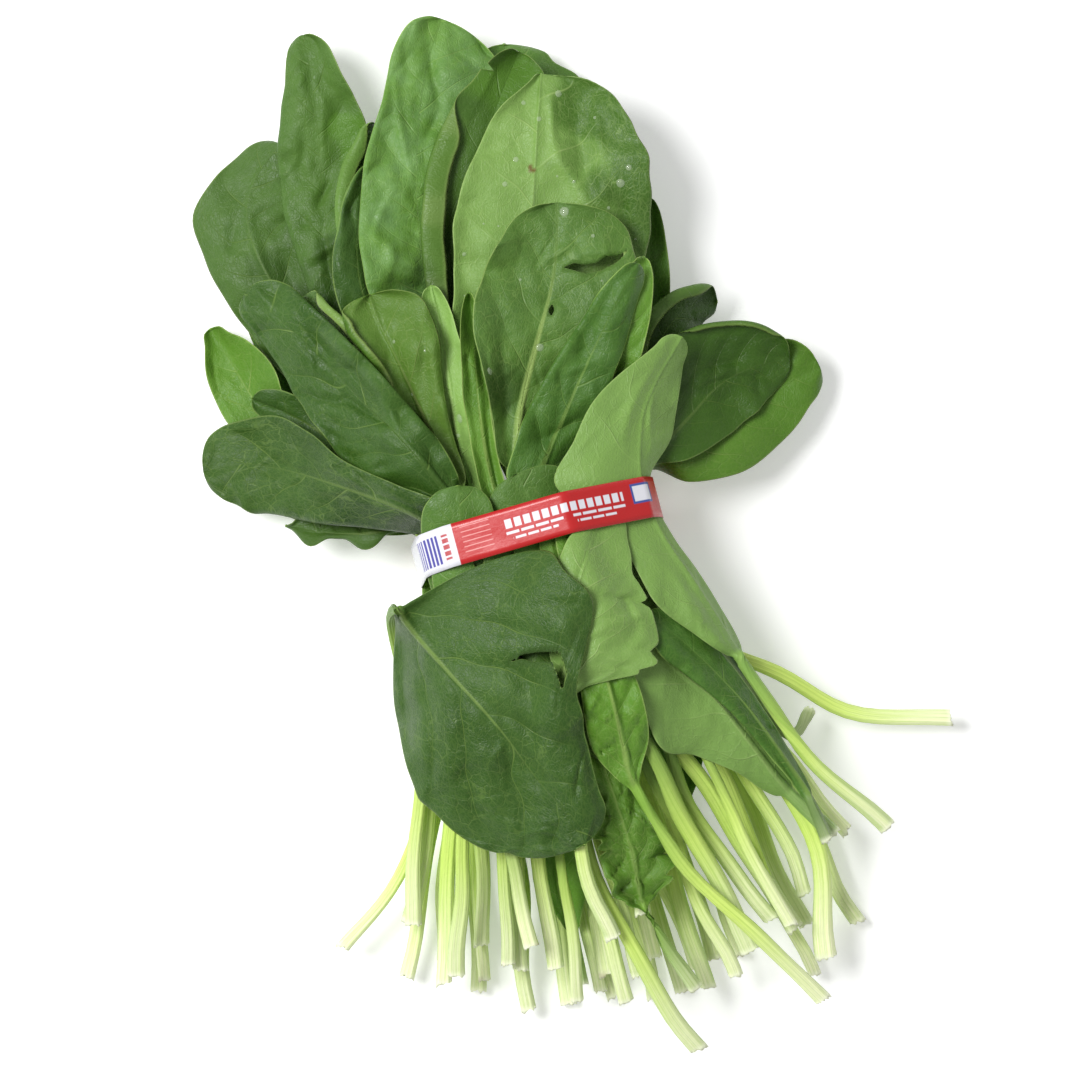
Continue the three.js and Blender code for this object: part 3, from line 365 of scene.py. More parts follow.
class Leaf:
    """A leaf as rings of points from the cut end to the tip. A ring goes over the upper face from the left
    margin to the right one, and back underneath."""

    def __init__(self, name):
        self.name = name
        self.look = {**PLAIN, **LOOKS.get(name, HIDDEN)}
        self.points, self.depth = stations_of(frame["nodes"][name])
        self.place_stations()
        self.lay_columns()
        self.add_relief()
        self.roll_margins()
        self.give_thickness()

    def place_stations(self):
        points, depth = self.points, self.depth
        steps = np.linalg.norm(np.diff(points, axis=0), axis=2).mean(axis=1)
        places = np.append(0, np.cumsum(steps))
        half = np.linalg.norm(points[:, [0, 4]] - points[:, [2]], axis=2)
        first = np.argmax(half.max(axis=1) > BLADE_FROM * depth)
        base, end = places[max(first - 1, 0)], places[-1]
        stalk = np.arange(CUT_STEPS[-1] + STALK_STEP, base - 1, STALK_STEP)
        blade = np.linspace(base, end - TIP_GAP, max(4, round((end - base) / self.look["step"])))
        at = np.concatenate([CUT_STEPS, stalk, blade])
        self.at, self.stalk_rows = at, len(at) - len(blade)
        self.cross = through(points, places, at)
        free = smooth(at, -10, 15) * smooth(at, base, base - 30)
        free = free * smooth(np.abs(self.cross[:, 2, 1]), *WAIST)
        self.cross[..., 0] += (STALK_SWAY * free * ripple(at, 0, 24))[:, None]
        self.rib = np.maximum(through(depth, places, at), 0.3)
        self.tip = points[-1, 0].copy()
        middle = self.cross[:, 2]
        run = np.append(0, np.cumsum(np.linalg.norm(np.diff(middle[:, :2], axis=0), axis=1)))
        self.along = run - run[self.stalk_rows]
        self.length = self.along[-1] + TIP_GAP
        self.share = np.clip(self.along / self.length, 0, 1)
        wide = np.linalg.norm(self.cross[:, [0, 4]] - self.cross[:, [2]], axis=2)
        self.half = np.maximum(wide, 0.3)
        self.flat = smooth(self.half.max(axis=1), self.rib * 1.05, 2.4 * self.rib)
        self.flat[: self.stalk_rows] = 0

    def lay_columns(self):
        """The middle surface of the blade, and where each of its points is on the leaf."""
        even = np.linspace(-1, 1, self.look["columns"])
        self.even = even
        self.v = even - COLUMN_SHIFT * np.sin(2 * math.pi * even)
        side = (self.v > 0).astype(int)
        self.side_half = self.half[:, side]
        wobble = [1 + MARGIN_WOBBLE * ripple(self.along, 0, WOBBLE_SIZE) for _ in range(2)]
        notches = [smooth(np.abs(ripple(self.along, 0, NOTCH_SIZE)), 0.9, 0) for _ in range(2)]
        wobble = np.array(wobble) - self.look["ragged"] * np.array(notches)
        reach = np.abs(self.v) * wobble.T[:, side]
        margin = self.cross[:, [0, 4]][:, side]
        middle = self.cross[:, [2]]
        self.surface = middle + reach[..., None] * (margin - middle)
        heights = through(self.cross[:, :, 2].T, np.array([-1, -0.5, 0, 0.5, 1]), self.v)
        self.surface[..., 2] = heights.T
        self.outwards = unit(self.cross[:, 4] - self.cross[:, 0])
        self.forwards = unit(np.gradient(self.cross[:, 2], self.at, axis=0))
        self.up = unit(np.cross(self.outwards, self.forwards))
        self.across = self.side_half * self.v
        self.s = np.repeat(self.along[:, None], len(self.v), axis=1)
        self.inside = self.side_half * (1 - np.abs(self.v))  # distance from the margin
        a, s, look = np.abs(self.across), self.s, self.look
        forwards = look["lean"] * a + 0.3 * a * a / self.side_half
        drift = sum(amount * ripple(s, self.across, size) for size, amount in VEIN_DRIFTS)
        self.phase = (s - forwards) / look["veins"] + drift

    def add_relief(self):
        look, a, s = self.look, np.abs(self.across), self.s
        reach = np.abs(self.v)[None, :]
        loose = smooth(np.abs(self.surface[..., 1]), *WAIST) * self.flat[:, None]
        phase = self.phase + 0.5 * (self.across > 0)
        pillow = np.abs(np.sin(math.pi * phase)) ** 0.8 - 0.6
        relief = look["valley"] * (1 - np.exp(-a / VALLEY_WIDTH))
        relief = relief + BEND_HEIGHT * look["bend"] * ripple(s, self.across, BEND_SIZE, 5)
        sharp = np.abs(ripple(s + 0.6 * a, 0.6 * self.across, FOLD_SIZE))
        fold = np.exp(-((sharp / FOLD_SHARE) ** 1.3)) * ripple(s, self.across, 1.5 * FOLD_SIZE)
        relief += look["folds"] * fold * smooth(a, 0, 4)
        relief = relief + PILLOW_HEIGHT * look["arch"] * pillow * smooth(a, 0.8, 4) * smooth(reach, 1, 0.7)
        for (size, height), near in zip(PUCKERS, (smooth(a, 0, 6), 1)):
            relief += height * look["pucker"] * ripple(s, self.across, size) * near
        wave = np.sin(2 * math.pi * s / RUFFLE_LENGTH + rng.uniform(0, 6)) + 0.7 * ripple(s, 3 * self.v, 5)
        relief += look["ruffle"] * wave * reach ** 3 * smooth(self.inside + a, 2, 12)
        for start, end, depth, width in look["creases"]:
            relief += CREASE_DEPTH * depth * self.crease(start, end, width)
        self.surface[..., 2] += relief * loose

    def on_leaf(self, point):
        """(along, across) in shares of the blade as millimetres on it."""
        along, across = point
        row = np.argmin(np.abs(self.share - along) + (np.arange(len(self.share)) < self.stalk_rows))
        return np.array([along * self.length, across * self.half[row, int(across > 0)]])

    def crease(self, start, end, width):
        """1 along a line on the leaf, falling off over a width and towards the line's ends."""
        (s0, a0), (s1, a1) = self.on_leaf(start), self.on_leaf(end)
        span = np.array([s1 - s0, a1 - a0])
        along = ((self.s - s0) * span[0] + (self.across - a0) * span[1]) / (span @ span)
        u = np.clip(along, 0, 1)
        off = np.hypot(self.s - s0 - u * span[0], self.across - a0 - u * span[1])
        return np.exp(-((off / width) ** 1.4)) * (0.35 + 0.65 * np.sin(math.pi * u))

    def roll_margins(self):
        """Rolls a strip of the margin over, so that its outermost reach stays where the margin was."""
        for side, start, end, radius, turn in self.look["rolls"]:
            columns = np.flatnonzero(self.v * side > 0)
            middle = (start + end) / 2
            amount = smooth(np.abs(self.share - middle), (end - start) / 2, (end - start) / 4)
            for i in np.flatnonzero((amount > 0) & (self.flat > 0.5)):
                half = self.half[i, int(side > 0)]
                zone = min(radius, 0.4 * half)
                total = amount[i] * math.radians(abs(turn))
                length = zone + amount[i] * max(zone * math.radians(abs(turn)) - zone, 0)
                rows = self.surface[i, columns]
                depth = self.inside[i, columns]
                order = np.argsort(depth)
                hinge = np.array([np.interp(zone, depth[order], rows[order, k]) for k in range(3)])
                move = np.flatnonzero(depth < zone)
                theta = total * (1 - depth[move] / zone)
                bend = max(total, 1e-3)
                out = self.outwards[i] * side
                lift = self.up[i] * math.copysign(self.look["roll_height"], turn)
                x = length * np.sin(theta) / bend
                y = length * (1 - np.cos(theta)) / bend
                self.surface[i, columns[move]] = hinge + x[:, None] * out + y[:, None] * lift

    def give_thickness(self):
        """The round, ribbed stalk and the thin blade with its midrib, one running into the other."""
        look, m = self.look, len(self.v)
        ring = 2 * (m - 1)
        self.column = np.array([j if j < m else ring - j for j in range(ring)])
        self.below = np.arange(ring) >= m
        inner = (self.column > 0) & (self.column < m - 1)
        face = np.where(self.below, -1, 1)
        normal = unit(np.cross(np.gradient(self.surface, axis=1), np.gradient(self.surface, axis=0)))
        rib = self.rib[:, None]
        round_rib = np.sqrt(np.clip(1 - (self.across / (1.15 * rib)) ** 2, 0, 1)) * rib
        round_rib = round_rib * look["midrib"]
        raised = 0.1 + (OVER_RIB - 0.1) * smooth(self.share, 0.4, 0)[:, None]
        above, under = (OVER_RIB, 0.35) if look["under"] else (raised, UNDER_RIB)
        thin = LAMINA * (0.5 + 0.5 * smooth(self.inside, 0, MARGIN_TAPER))
        over = (thin + round_rib * above)[:, self.column]
        beneath = (thin + round_rib * under)[:, self.column]
        stand = np.where(self.below, beneath, over) * face * inner
        blade = self.surface[:, self.column] + normal[:, self.column] * stand[..., None]

        angle = math.pi / 2 * self.even[self.column]
        turned = np.copysign(math.pi, angle) - angle
        self.angle = np.where(self.below, turned, angle)
        swell = 0.97 + STALK_SWELL * ripple(self.at, 0, 20) + CUT_FLARE * np.exp(-self.at / 2)
        ribs = 1 + RIB_HEIGHT * np.cos(STALK_RIBS * self.angle) + 0.02 * ripple(4 * self.angle, 0, 3)
        channel = GROOVE * np.exp(-((self.angle / GROOVE_WIDTH) ** 2))
        radius = (self.rib * swell)[:, None] * (ribs - channel)
        stalk = self.cross[:, [2]] + self.outwards[:, None] * (radius * np.sin(self.angle))[..., None]
        stalk = stalk + self.up[:, None] * (radius * np.cos(self.angle))[..., None]
        ragged = CUT_ROUGH * ripple(6 * self.angle, 0, 2)
        ragged = ragged + rng.uniform(-CUT_SLANT, CUT_SLANT) * self.rib[0] * np.sin(self.angle)
        stalk[0] -= self.forwards[0] * ragged[:, None]
        self.radius = radius
        flat = self.flat[:, None, None]
        self.rings = stalk + flat * (blade - stalk)

    # -- Laying it on the pile --
    def dense_rows(self, first, last):
        """Stations close enough to leave no gaps, as the rows that they lie between and their shares."""
        gaps = np.diff(self.at[first:last])
        parts = np.maximum(1, np.ceil(gaps / CELL)).astype(int)
        rows = np.concatenate([first + i + np.arange(n) / n for i, n in enumerate(parts)])
        rows = np.append(rows, last - 1)
        low = np.floor(rows).astype(int)
        high = np.minimum(low + 1, last - 1)
        return low, high, (rows - low)[:, None, None]

    def lay_down(self, pile, first=0, last=None):
        last = last or len(self.at)
        m = len(self.v)
        low, high, share = self.dense_rows(first, last)
        dense = self.rings[low] * (1 - share) + self.rings[high] * share
        lower = (2 * (m - 1) - np.arange(m)) % (2 * (m - 1))
        clash = np.maximum(pile.top(dense[:, lower]) + GAP - dense[:, lower, 2], 0)
        need = np.zeros((len(self.at), m))
        np.maximum.at(need, low, clash)
        np.maximum.at(need, high, clash)
        need = need[first:last]
        stiff = 1 - self.flat[first:last, None]
        need = np.maximum(need, stiff * need.max(axis=1, keepdims=True))
        lift = np.zeros((len(self.at), m))
        lift[first:last] = bridged(need, BRIDGE)
        self.glow_at(pile, first, last)
        self.rings[..., 2] += lift[:, self.column]
        if last == len(self.at):
            self.tip[2] = self.rings[-1, :, 2].mean()
        dense = self.rings[low] * (1 - share) + self.rings[high] * share
        pile.add(dense)

    def glow_at(self, pile, first, last):
        """Painted light: how much light would come through from below, which each layer under it halves;
        the blade is painted yellower by it.
        """
        if first == 0:
            self.painted_backlight = np.zeros(self.rings.shape[:2])
        self.painted_backlight[first:last] = 0.5 ** pile.layers(self.rings[first:last])


def neighbours(values, reach, axis):
    """The values at each step within a reach to either side, along one axis."""
    padded = np.pad(values, [(reach, reach) if k == axis else (0, 0) for k in (0, 1)], mode="edge")
    size = values.shape[axis]
    return [np.take(padded, np.arange(k, k + size), axis) for k in range(2 * reach + 1)]


def bridged(need, reach):
    """A smooth lift that is nowhere less than what is needed."""
    for axis, distance in enumerate(reach):
        need = np.max(neighbours(need, distance, axis), axis=0)
    for axis, distance in enumerate(reach):
        weights = np.hanning(2 * distance + 3)[1:-1]
        need = sum(w * part for w, part in zip(weights, neighbours(need, distance, axis))) / weights.sum()
    return need


class Pile:
    """The top of what has been laid down, on a grid seen from above, and how many layers a cell has."""

    def __init__(self):
        low, high = (np.array(corner) / MM for corner in CAD_BOX)
        self.corner = low[:2] - BORDER
        size = np.ceil((high[:2] - low[:2] + 2 * BORDER) / CELL).astype(int)
        self.height = np.zeros(size)
        self.count = np.zeros(size)
        y = self.corner[1] + CELL * np.arange(size[1])
        self.height[:, np.abs(y) < WAIST[0]] = TIE_UNDER

    def cells(self, points):
        place = ((points[..., :2] - self.corner) / CELL).astype(int)
        place = np.clip(place, 1, np.array(self.height.shape) - 2)
        return place[..., 0], place[..., 1]

    def top(self, points):
        return self.height[self.cells(points)]

    def layers(self, points):
        return self.count[self.cells(points)]

    def add(self, points):
        x, y = self.cells(points)
        covered = np.zeros(self.height.shape, bool)
        for i in (-1, 0, 1):
            for j in (-1, 0, 1):
                np.maximum.at(self.height, (x + i, y + j), points[..., 2])
                covered[x + i, y + j] = True
        self.count += covered


# ---- Meshes ----
def placed(name, data):
    """A new object in the scene, from its mesh, lamp or camera."""
    made = bpy.data.objects.new(name, data)
    bpy.context.scene.collection.objects.link(made)
    return made


def new_object(name, points, faces, material):
    """A smooth-shaded mesh from points in millimetres and lists of faces of equal size."""
    mesh = bpy.data.meshes.new(name)
    mesh.vertices.add(len(points))
    mesh.vertices.foreach_set("co", (np.asarray(points) * MM).astype(np.float32).ravel())
    sizes = np.concatenate([np.full(len(f), f.shape[1]) for f in faces])
    mesh.loops.add(int(sizes.sum()))
    mesh.loops.foreach_set("vertex_index", np.concatenate([f.ravel() for f in faces]).astype(np.int32))
    mesh.polygons.add(len(sizes))
    mesh.polygons.foreach_set("loop_start", (np.cumsum(sizes) - sizes).astype(np.int32))
    mesh.polygons.foreach_set("use_smooth", np.ones(len(sizes), bool))
    mesh.update(calc_edges=True)
    mesh.materials.append(material)
    return placed(name, mesh)


def give(made, name, values):
    """Stores a number or a vector at each point of a mesh."""
    kind, field = ("FLOAT_VECTOR", "vector") if values.ndim == 2 else ("FLOAT", "value")
    stored = made.data.attributes.new(name, kind, "POINT")
    stored.data.foreach_set(field, values.astype(np.float32).ravel())


def joined_rings(count, size):
    """The points of a number of rings, and the quads between neighbouring rings."""
    index = np.arange(count * size).reshape(count, size)
    after = np.roll(index, -1, axis=1)
    return index, np.stack([index[:-1], after[:-1], after[1:], index[1:]], axis=-1)


def within(outline, x, y):
    """Which points lie inside a closed outline."""
    found = np.zeros(x.shape, bool)
    for (x0, y0), (x1, y1) in zip(outline, np.roll(outline, -1, axis=0)):
        spans = (y0 > y) != (y1 > y)
        at = x0 + (y - y0) / (y1 - y0 if y1 != y0 else 1) * (x1 - x0)
        found ^= spans & (x < at)
    return found


def nearest_on(outline, point):
    """The point of a closed outline that is nearest to another point."""
    spans = np.roll(outline, -1, axis=0) - outline
    share = ((point - outline) * spans).sum(axis=1) / np.maximum((spans ** 2).sum(axis=1), 1e-9)
    near = outline + np.clip(share, 0, 1)[:, None] * spans
    return near[np.argmin(np.linalg.norm(near - point, axis=1))]


def tear(leaf, quads, index):
    """Cuts the tears through both faces of a blade. Returns the quads that are left and the ones that close
    the edges of the tears."""
    n, m, ring = len(leaf.at), len(leaf.v), leaf.rings.shape[1]
    s, a = leaf.s, leaf.across
    torn = np.zeros((n + 1, m + 1), bool)  # cell [i, j] lies before row i and column j
    outlines = [np.array([leaf.on_leaf(point) for point in outline]) for outline in leaf.look["tears"]]
    for outline in outlines:
        middle = [(v[:-1, :-1] + v[1:, :-1] + v[:-1, 1:] + v[1:, 1:]) / 4 for v in (s, a)]
        torn[1:n, 1:m] |= within(outline, *middle)
    walls, edge = [], set()
    below = (ring - np.arange(m)) % ring
    for i, j in np.argwhere(torn):
        corners = [(i - 1, j - 1), (i - 1, j), (i, j), (i, j - 1)]
        for k, (di, dj) in enumerate([(-1, 0), (0, 1), (1, 0), (0, -1)]):
            if torn[i + di, j + dj]:
                continue
            (pi, pj), (qi, qj) = corners[k], corners[(k + 1) % 4]
            walls.append([index[pi, pj], index[qi, qj], index[qi, below[qj]], index[pi, below[pj]]])
            edge.update([(pi, pj), (qi, qj)])
    moved = leaf.rings.copy()
    for i, j in edge:
        place = np.array([s[i, j], a[i, j]])
        shift = min((nearest_on(outline, place) - place for outline in outlines), key=np.linalg.norm)
        shift = shift * min(1, TEAR_MOVE / max(np.linalg.norm(shift), 1e-9))
        for k in (j, below[j]):
            ahead = (leaf.rings[i + 1, k] - leaf.rings[i - 1, k]) / (s[i + 1, j] - s[i - 1, j])
            width = a[i, leaf.column[k]] - a[i, leaf.column[k - 1]]
            beside = (leaf.rings[i, k] - leaf.rings[i, k - 1]) / width
            moved[i, k] = leaf.rings[i, k] + shift[0] * ahead + shift[1] * beside
        leaf.inside[i, j] = 0.1
    leaf.rings = moved
    kept = np.ones(quads.shape[:2], bool)
    cells = torn[1:n, 1:m]
    kept[:, :m - 1] &= ~cells
    kept[:, m - 1:] &= ~cells[:, ::-1]
    return quads[kept], np.array(walls)


def build_leaf(leaf, material):
    """The mesh of a leaf, closed at its tip and hollowed at its cut end, with what its material reads."""
    n, ring = leaf.rings.shape[:2]
    index, quads = joined_rings(n, ring)
    faces = [quads.reshape(-1, 4)]
    if leaf.look["tears"]:
        faces = list(tear(leaf, quads, index))
    solid_tip = n * ring
    tip_fan = np.stack([index[-1], np.roll(index[-1], -1), np.full(ring, solid_tip)], axis=-1)
    centre = leaf.cross[0, 2] + [0, 0, leaf.rings[0, :, 2].mean() - leaf.cross[0, 2, 2]]
    caps, cap_faces = [leaf.tip[None]], []
    outer = index[0]
    for share, depth in CAP_RINGS:
        hollow = centre + share * (leaf.rings[0] - centre) + depth * leaf.forwards[0]
        ids = solid_tip + 1 + ring * (len(caps) - 1) + np.arange(ring)
        cap_faces.append(np.stack([np.roll(outer, -1), outer, ids, np.roll(ids, -1)], axis=-1))
        caps.append(hollow)
        outer = ids
    last = solid_tip + 1 + ring * len(CAP_RINGS)
    caps.append((centre + 0.5 * leaf.forwards[0])[None])
    fan = np.stack([np.roll(outer, -1), outer, np.full(ring, last)], axis=-1)
    points = np.concatenate([leaf.rings.reshape(-1, 3), *caps])
    made = new_object(leaf.name + "_look", points, [*faces, *cap_faces, tip_fan, fan], material)

    column, count = leaf.column, len(points) - n * ring
    flat = np.repeat(leaf.flat[:, None], ring, axis=1)
    around = leaf.radius * leaf.angle
    across = around + flat * (leaf.across[:, column] - around)
    inside = 6 + flat * (leaf.inside[:, column] - 6)
    blade_side = leaf.below != leaf.look["under"]
    under = np.repeat(blade_side[None, :], n, axis=0)
    reach = np.abs(leaf.v[column])[None, :] * flat
    rib = np.repeat(leaf.rib[:, None], ring, axis=1)
    from_cut = np.repeat(leaf.at[:, None], ring, axis=1)
    bright, clear, haze = leaf.look["tint"]
    # Marks: patches painted vivid (partly painted light), dark (painted shade) and brown (a real stain).
    marked = np.zeros((3, n, ring))
    for place, radius, *amounts in leaf.look["marks"]:
        s0, a0 = leaf.on_leaf(place)
        off = np.hypot(leaf.s - s0, leaf.across - a0)
        off = off + 0.25 * radius * ripple(leaf.s, leaf.across, radius / 2)
        spot = smooth(off, radius, 0.45 * radius)[:, column]
        marked = np.maximum(marked, np.multiply.outer(amounts, spot * flat))

    midrib, sides, net = leaf.look["show"]
    fading = np.repeat(1 - MIDRIB_FADE * smooth(leaf.share, 0.35, 0.9)[:, None], ring, axis=1)
    # Drops lie on the blade, off its base and its margins.
    facing = (~leaf.below)[None, :] * (leaf.share[:, None] > 0.3) * (inside > 3) * (flat > 0.9)
    read = {  # each with the values on the rings and the one on the caps
        "lay": [(across, 0), (leaf.s[:, column], leaf.s[0, 0]), (inside, 6)],
        "vein": [(leaf.phase[:, column], 0), (reach, 0), (rib * leaf.look["midrib"], 1)],
        "show": [(midrib * fading, 0), (flat * sides, 0), (flat * net, 0)],
        "part": [(flat, 0), (under, 0), (from_cut, -3)],
        "marked": [(kind, 0) for kind in marked],
        # painted light: the brightness is partly painted light and shade, and the backlight is painted
        # where few layers lie below
        "tint": [(flat * 0 + bright, bright), (leaf.painted_backlight * clear, 0), (flat * 0 + haze, haze)],
        "wet": [(facing * 1.0, 0)],
    }
    for name, pairs in read.items():
        values = [np.append(on_rings.ravel(), np.full(count, on_caps)) for on_rings, on_caps in pairs]
        give(made, name, np.stack(values, axis=-1) if len(values) > 1 else values[0])
    give(made, "tone", np.full(len(points), rng.uniform(*STALK_TONES)))
    return made


# ---- The paper tie ----
TIE_WIDTH = 12.5
TIE_FOOT, TIE_LEAN = -4, 0.12  # where its middle is on the table, and how far it leans with the height
PAPER = 0.16
TIE_ROUND = 0.3  # how far it stands off the leaves, and rounds their corners
TIE_LAP = 14  # by which its ends overlap, under the bunch
LAP_RISE = 8  # over which its last part rises onto its first
TIE_STEP = 0.8
TIE_CURL = 0.12  # how far its edges lift
# What is printed on the tie: its limits along the tie and across it, its colour, and the direction, period
# and share of its dashes.
PRINTED = [
    ((-16, 23), (0.2, 2.9), "#DDDDE4", ("along", 2.9, 0.72)),
    ((-16, 2), (-1.6, -0.8), "#DDDDE4", ("along", 4.6, 0.86)),
    ((5, 23), (-1.6, -0.8), "#DDDDE4", ("along", 5.3, 0.88)),
    ((-14, 0), (-3.3, -2.6), "#DDDDE4", ("along", 3.9, 0.84)),
    ((6, 20), (-3.3, -2.6), "#DDDDE4", ("along", 4.4, 0.86)),
    ((-29, -20), (-4.4, 4.6), "#D88A86", ("across", 1.5, 0.2)),
    ((26, 33.6), (-1.4, 4.6), "#3B4F9A", None),
    ((26.7, 32.9), (-0.7, 3.9), "#DDDDE4", None),
    ((-82, -31.3), (-7, 7), "#DDDDE4", None),
    ((-48.5, -36.8), (-4.4, 4.2), "#4F4C9C", ("along", 1.5, 0.6)),
    ((-35.4, -33.2), (-3.8, 3.8), "#B9585A", ("across", 1.9, 0.7)),
]


def tie_middle(z):
    """How far along the bunch the middle of the tie is, at a height above the table."""
    return TIE_FOOT + TIE_LEAN * z


def tie_loop(leaves):
    """The taut loop round everything in the tie, and its length. Seen from the cut ends, its evenly spaced
    points go clockwise from the middle of its underside."""
    points = np.concatenate([leaf.rings.reshape(-1, 3) for leaf in leaves])
    ring, _ = joined_copy(frame["nodes"]["paper_tie"])
    inside = np.abs(points[:, 1] - tie_middle(points[:, 2])) < TIE_WIDTH / 2 + 0.5
    inside &= (points[:, 0] > ring[:, 0].min() - 2) & (points[:, 0] < ring[:, 0].max() + 2)
    held = points[inside][:, [0, 2]]
    turn = np.linspace(0, 2 * math.pi, 16, endpoint=False)
    circle = TIE_ROUND * np.stack([np.cos(turn), np.sin(turn)], axis=-1)
    hull = held[convex_hull_2d([tuple(p) for p in held])]
    wide = (hull[:, None] + circle).reshape(-1, 2)
    loop = wide[convex_hull_2d([tuple(p) for p in wide])]
    if np.sum(loop[:, 0] * np.roll(loop[:, 1], -1) - loop[:, 1] * np.roll(loop[:, 0], -1)) > 0:
        loop = loop[::-1]
    underside = loop[:, 1] < loop[:, 1].min() + 3
    start = np.argmin(np.where(underside, np.abs(loop[:, 0]), np.inf))
    loop = np.roll(loop, -start, axis=0)
    loop = np.concatenate([loop, loop[:1]])
    places = np.append(0, np.cumsum(np.linalg.norm(np.diff(loop, axis=0), axis=1)))
    even = np.linspace(0, places[-1], round(places[-1] / TIE_STEP))
    return np.stack([np.interp(even, places, loop[:, k]) for k in (0, 1)], axis=-1)[:-1], places[-1]


def build_tie(leaves, material):
    """A strip of paper round the loop, whose last part lies over its first, and what its material reads."""
    loop, length = tie_loop(leaves)
    n = len(loop)
    step = length / n
    count = n + round(TIE_LAP / step)
    at = step * np.arange(count)
    around = np.arange(count) % n
    tangent = np.roll(loop, -1, axis=0) - np.roll(loop, 1, axis=0)
    outwards = unit(np.stack([-tangent[:, 1], tangent[:, 0]], axis=-1))
    over = (PAPER + 0.04) * smooth(at, length - LAP_RISE, length - 0.5)
    v = np.linspace(-TIE_WIDTH / 2, TIE_WIDTH / 2, 9)
    curl = TIE_CURL * ripple(at[:, None], v, 9) * np.abs(v / v[-1]) ** 2
    layers = []
    for lift in (0, PAPER):
        flat = (loop[around] + outwards[around] * (over + lift)[:, None])[:, None]
        flat = flat + outwards[around][:, None] * np.maximum(curl, 0)[..., None]
        y = tie_middle(flat[..., 1]) + v
        layers.append(np.stack([flat[..., 0], y, np.maximum(flat[..., 1], 0.02)], axis=-1))
    rings = np.concatenate([layers[1], layers[0][:, ::-1]], axis=1)
    half = len(v)
    index, quads = joined_rings(count, 2 * half)
    ends = []
    for row, order in ((0, -1), (-1, 1)):
        outer, inner = index[row, :half], index[row, ::-1][:half]
        ends.append(np.stack([outer[:-1], outer[1:], inner[1:], inner[:-1]], axis=-1)[:, ::order])
    points = rings.reshape(-1, 3)
    made = new_object("paper_tie_look", points, [quads.reshape(-1, 4), *ends], material)
    top = np.flatnonzero(loop[:, 1] > loop[:, 1].mean())
    centre = step * top[np.argmin(np.abs(loop[top, 0]))]
    columns = [np.append(v, v[::-1]), np.repeat([1, 0], half)]
    read = [np.repeat(at - centre, 2 * half), *(np.tile(column, count) for column in columns)]
    give(made, "print", np.stack(read, axis=-1))
    return made


# ---- Water drops ----
DROP_DENSITY = 9000.0  # on a square metre of a leaf that is fully wet
DROPS_APART = 3.5
DROP_SIZES = (0.35, 1.5)  # least and greatest radius


def drops_tree():
    """Geometry nodes that scatter domes of water over the wet parts of a mesh, and their inputs' keys."""
    tree = bpy.data.node_groups.new("Drops", "GeometryNodeTree")
    tree.interface.new_socket("Leaf", in_out="INPUT", socket_type="NodeSocketGeometry")
    tree.interface.new_socket("Drops", in_out="OUTPUT", socket_type="NodeSocketGeometry")
    keys = {}
    kinds = {"Density": "Float", "Apart": "Float", "Smallest": "Float", "Largest": "Float", "Seed": "Int",
             "Water": "Material"}
    for label, kind in kinds.items():
        socket = tree.interface.new_socket(label, in_out="INPUT", socket_type="NodeSocket" + kind)
        keys[label] = socket.identifier
    given = add(tree, "NodeGroupInput").outputs
    wet = add(tree, "GeometryNodeInputNamedAttribute", {"Name": "wet"}, data_type="FLOAT")
    spots = add(tree, "GeometryNodeDistributePointsOnFaces", {
        "Mesh": given["Leaf"], "Distance Min": given["Apart"], "Density Max": given["Density"],
        "Density Factor": wet.outputs["Attribute"], "Seed": given["Seed"]}, distribute_method="POISSON")
    dome = add(tree, "GeometryNodeMeshIcoSphere", {"Radius": 1.0, "Subdivisions": 3})
    low_dome = add(tree, "GeometryNodeTransform", {"Geometry": dome.outputs["Mesh"], "Scale": (1, 1, 0.42)})
    size = add(tree, "FunctionNodeRandomValue", {"Min": 0.0, "Max": 1.0, "Seed": given["Seed"]},
               data_type="FLOAT")
    size = add(tree, "ShaderNodeMath", [size, 2.2], operation="POWER")
    size = add(tree, "ShaderNodeMapRange", {
        "Value": size, "To Min": given["Smallest"], "To Max": given["Largest"]})
    laid = add(tree, "GeometryNodeInstanceOnPoints", {
        "Points": spots.outputs["Points"], "Instance": low_dome, "Rotation": spots.outputs["Rotation"],
        "Scale": size.outputs["Result"]})
    real = add(tree, "GeometryNodeRealizeInstances", {"Geometry": laid})
    shaded = add(tree, "GeometryNodeSetShadeSmooth", {"Geometry": real})
    finished = add(tree, "GeometryNodeSetMaterial", {"Geometry": shaded, "Material": given["Water"]})
    add(tree, "NodeGroupOutput", [finished])
    return tree, keys


def add_drops(piece, leaf, seed):
    """Drops on a leaf, made by geometry nodes on a copy of its mesh."""
    base = placed(leaf.name + "_wet", piece.data.copy())
    modifier = base.modifiers.new("Drops", "NODES")
    modifier.node_group, keys = DROPS
    values = {"Density": DROP_DENSITY * leaf.look["wet"], "Apart": DROPS_APART * MM, "Seed": seed,
              "Smallest": DROP_SIZES[0] * MM, "Largest": DROP_SIZES[1] * MM, "Water": WATER}
    for label, value in values.items():
        modifier[keys[label]] = value
    evaluated = base.evaluated_get(bpy.context.evaluated_depsgraph_get())
    mesh = bpy.data.meshes.new_from_object(evaluated)
    bpy.data.objects.remove(base)
    return placed(leaf.name + "_drops", mesh)


# ---- Materials ----
def colour(code):
    """An sRGB hex colour as linear light."""
    channels = [int(code[i:i + 2], 16) / 255 for i in (1, 3, 5)]
    return (*[c / 12.92 if c <= 0.04045 else ((c + 0.055) / 1.055) ** 2.4 for c in channels], 1)


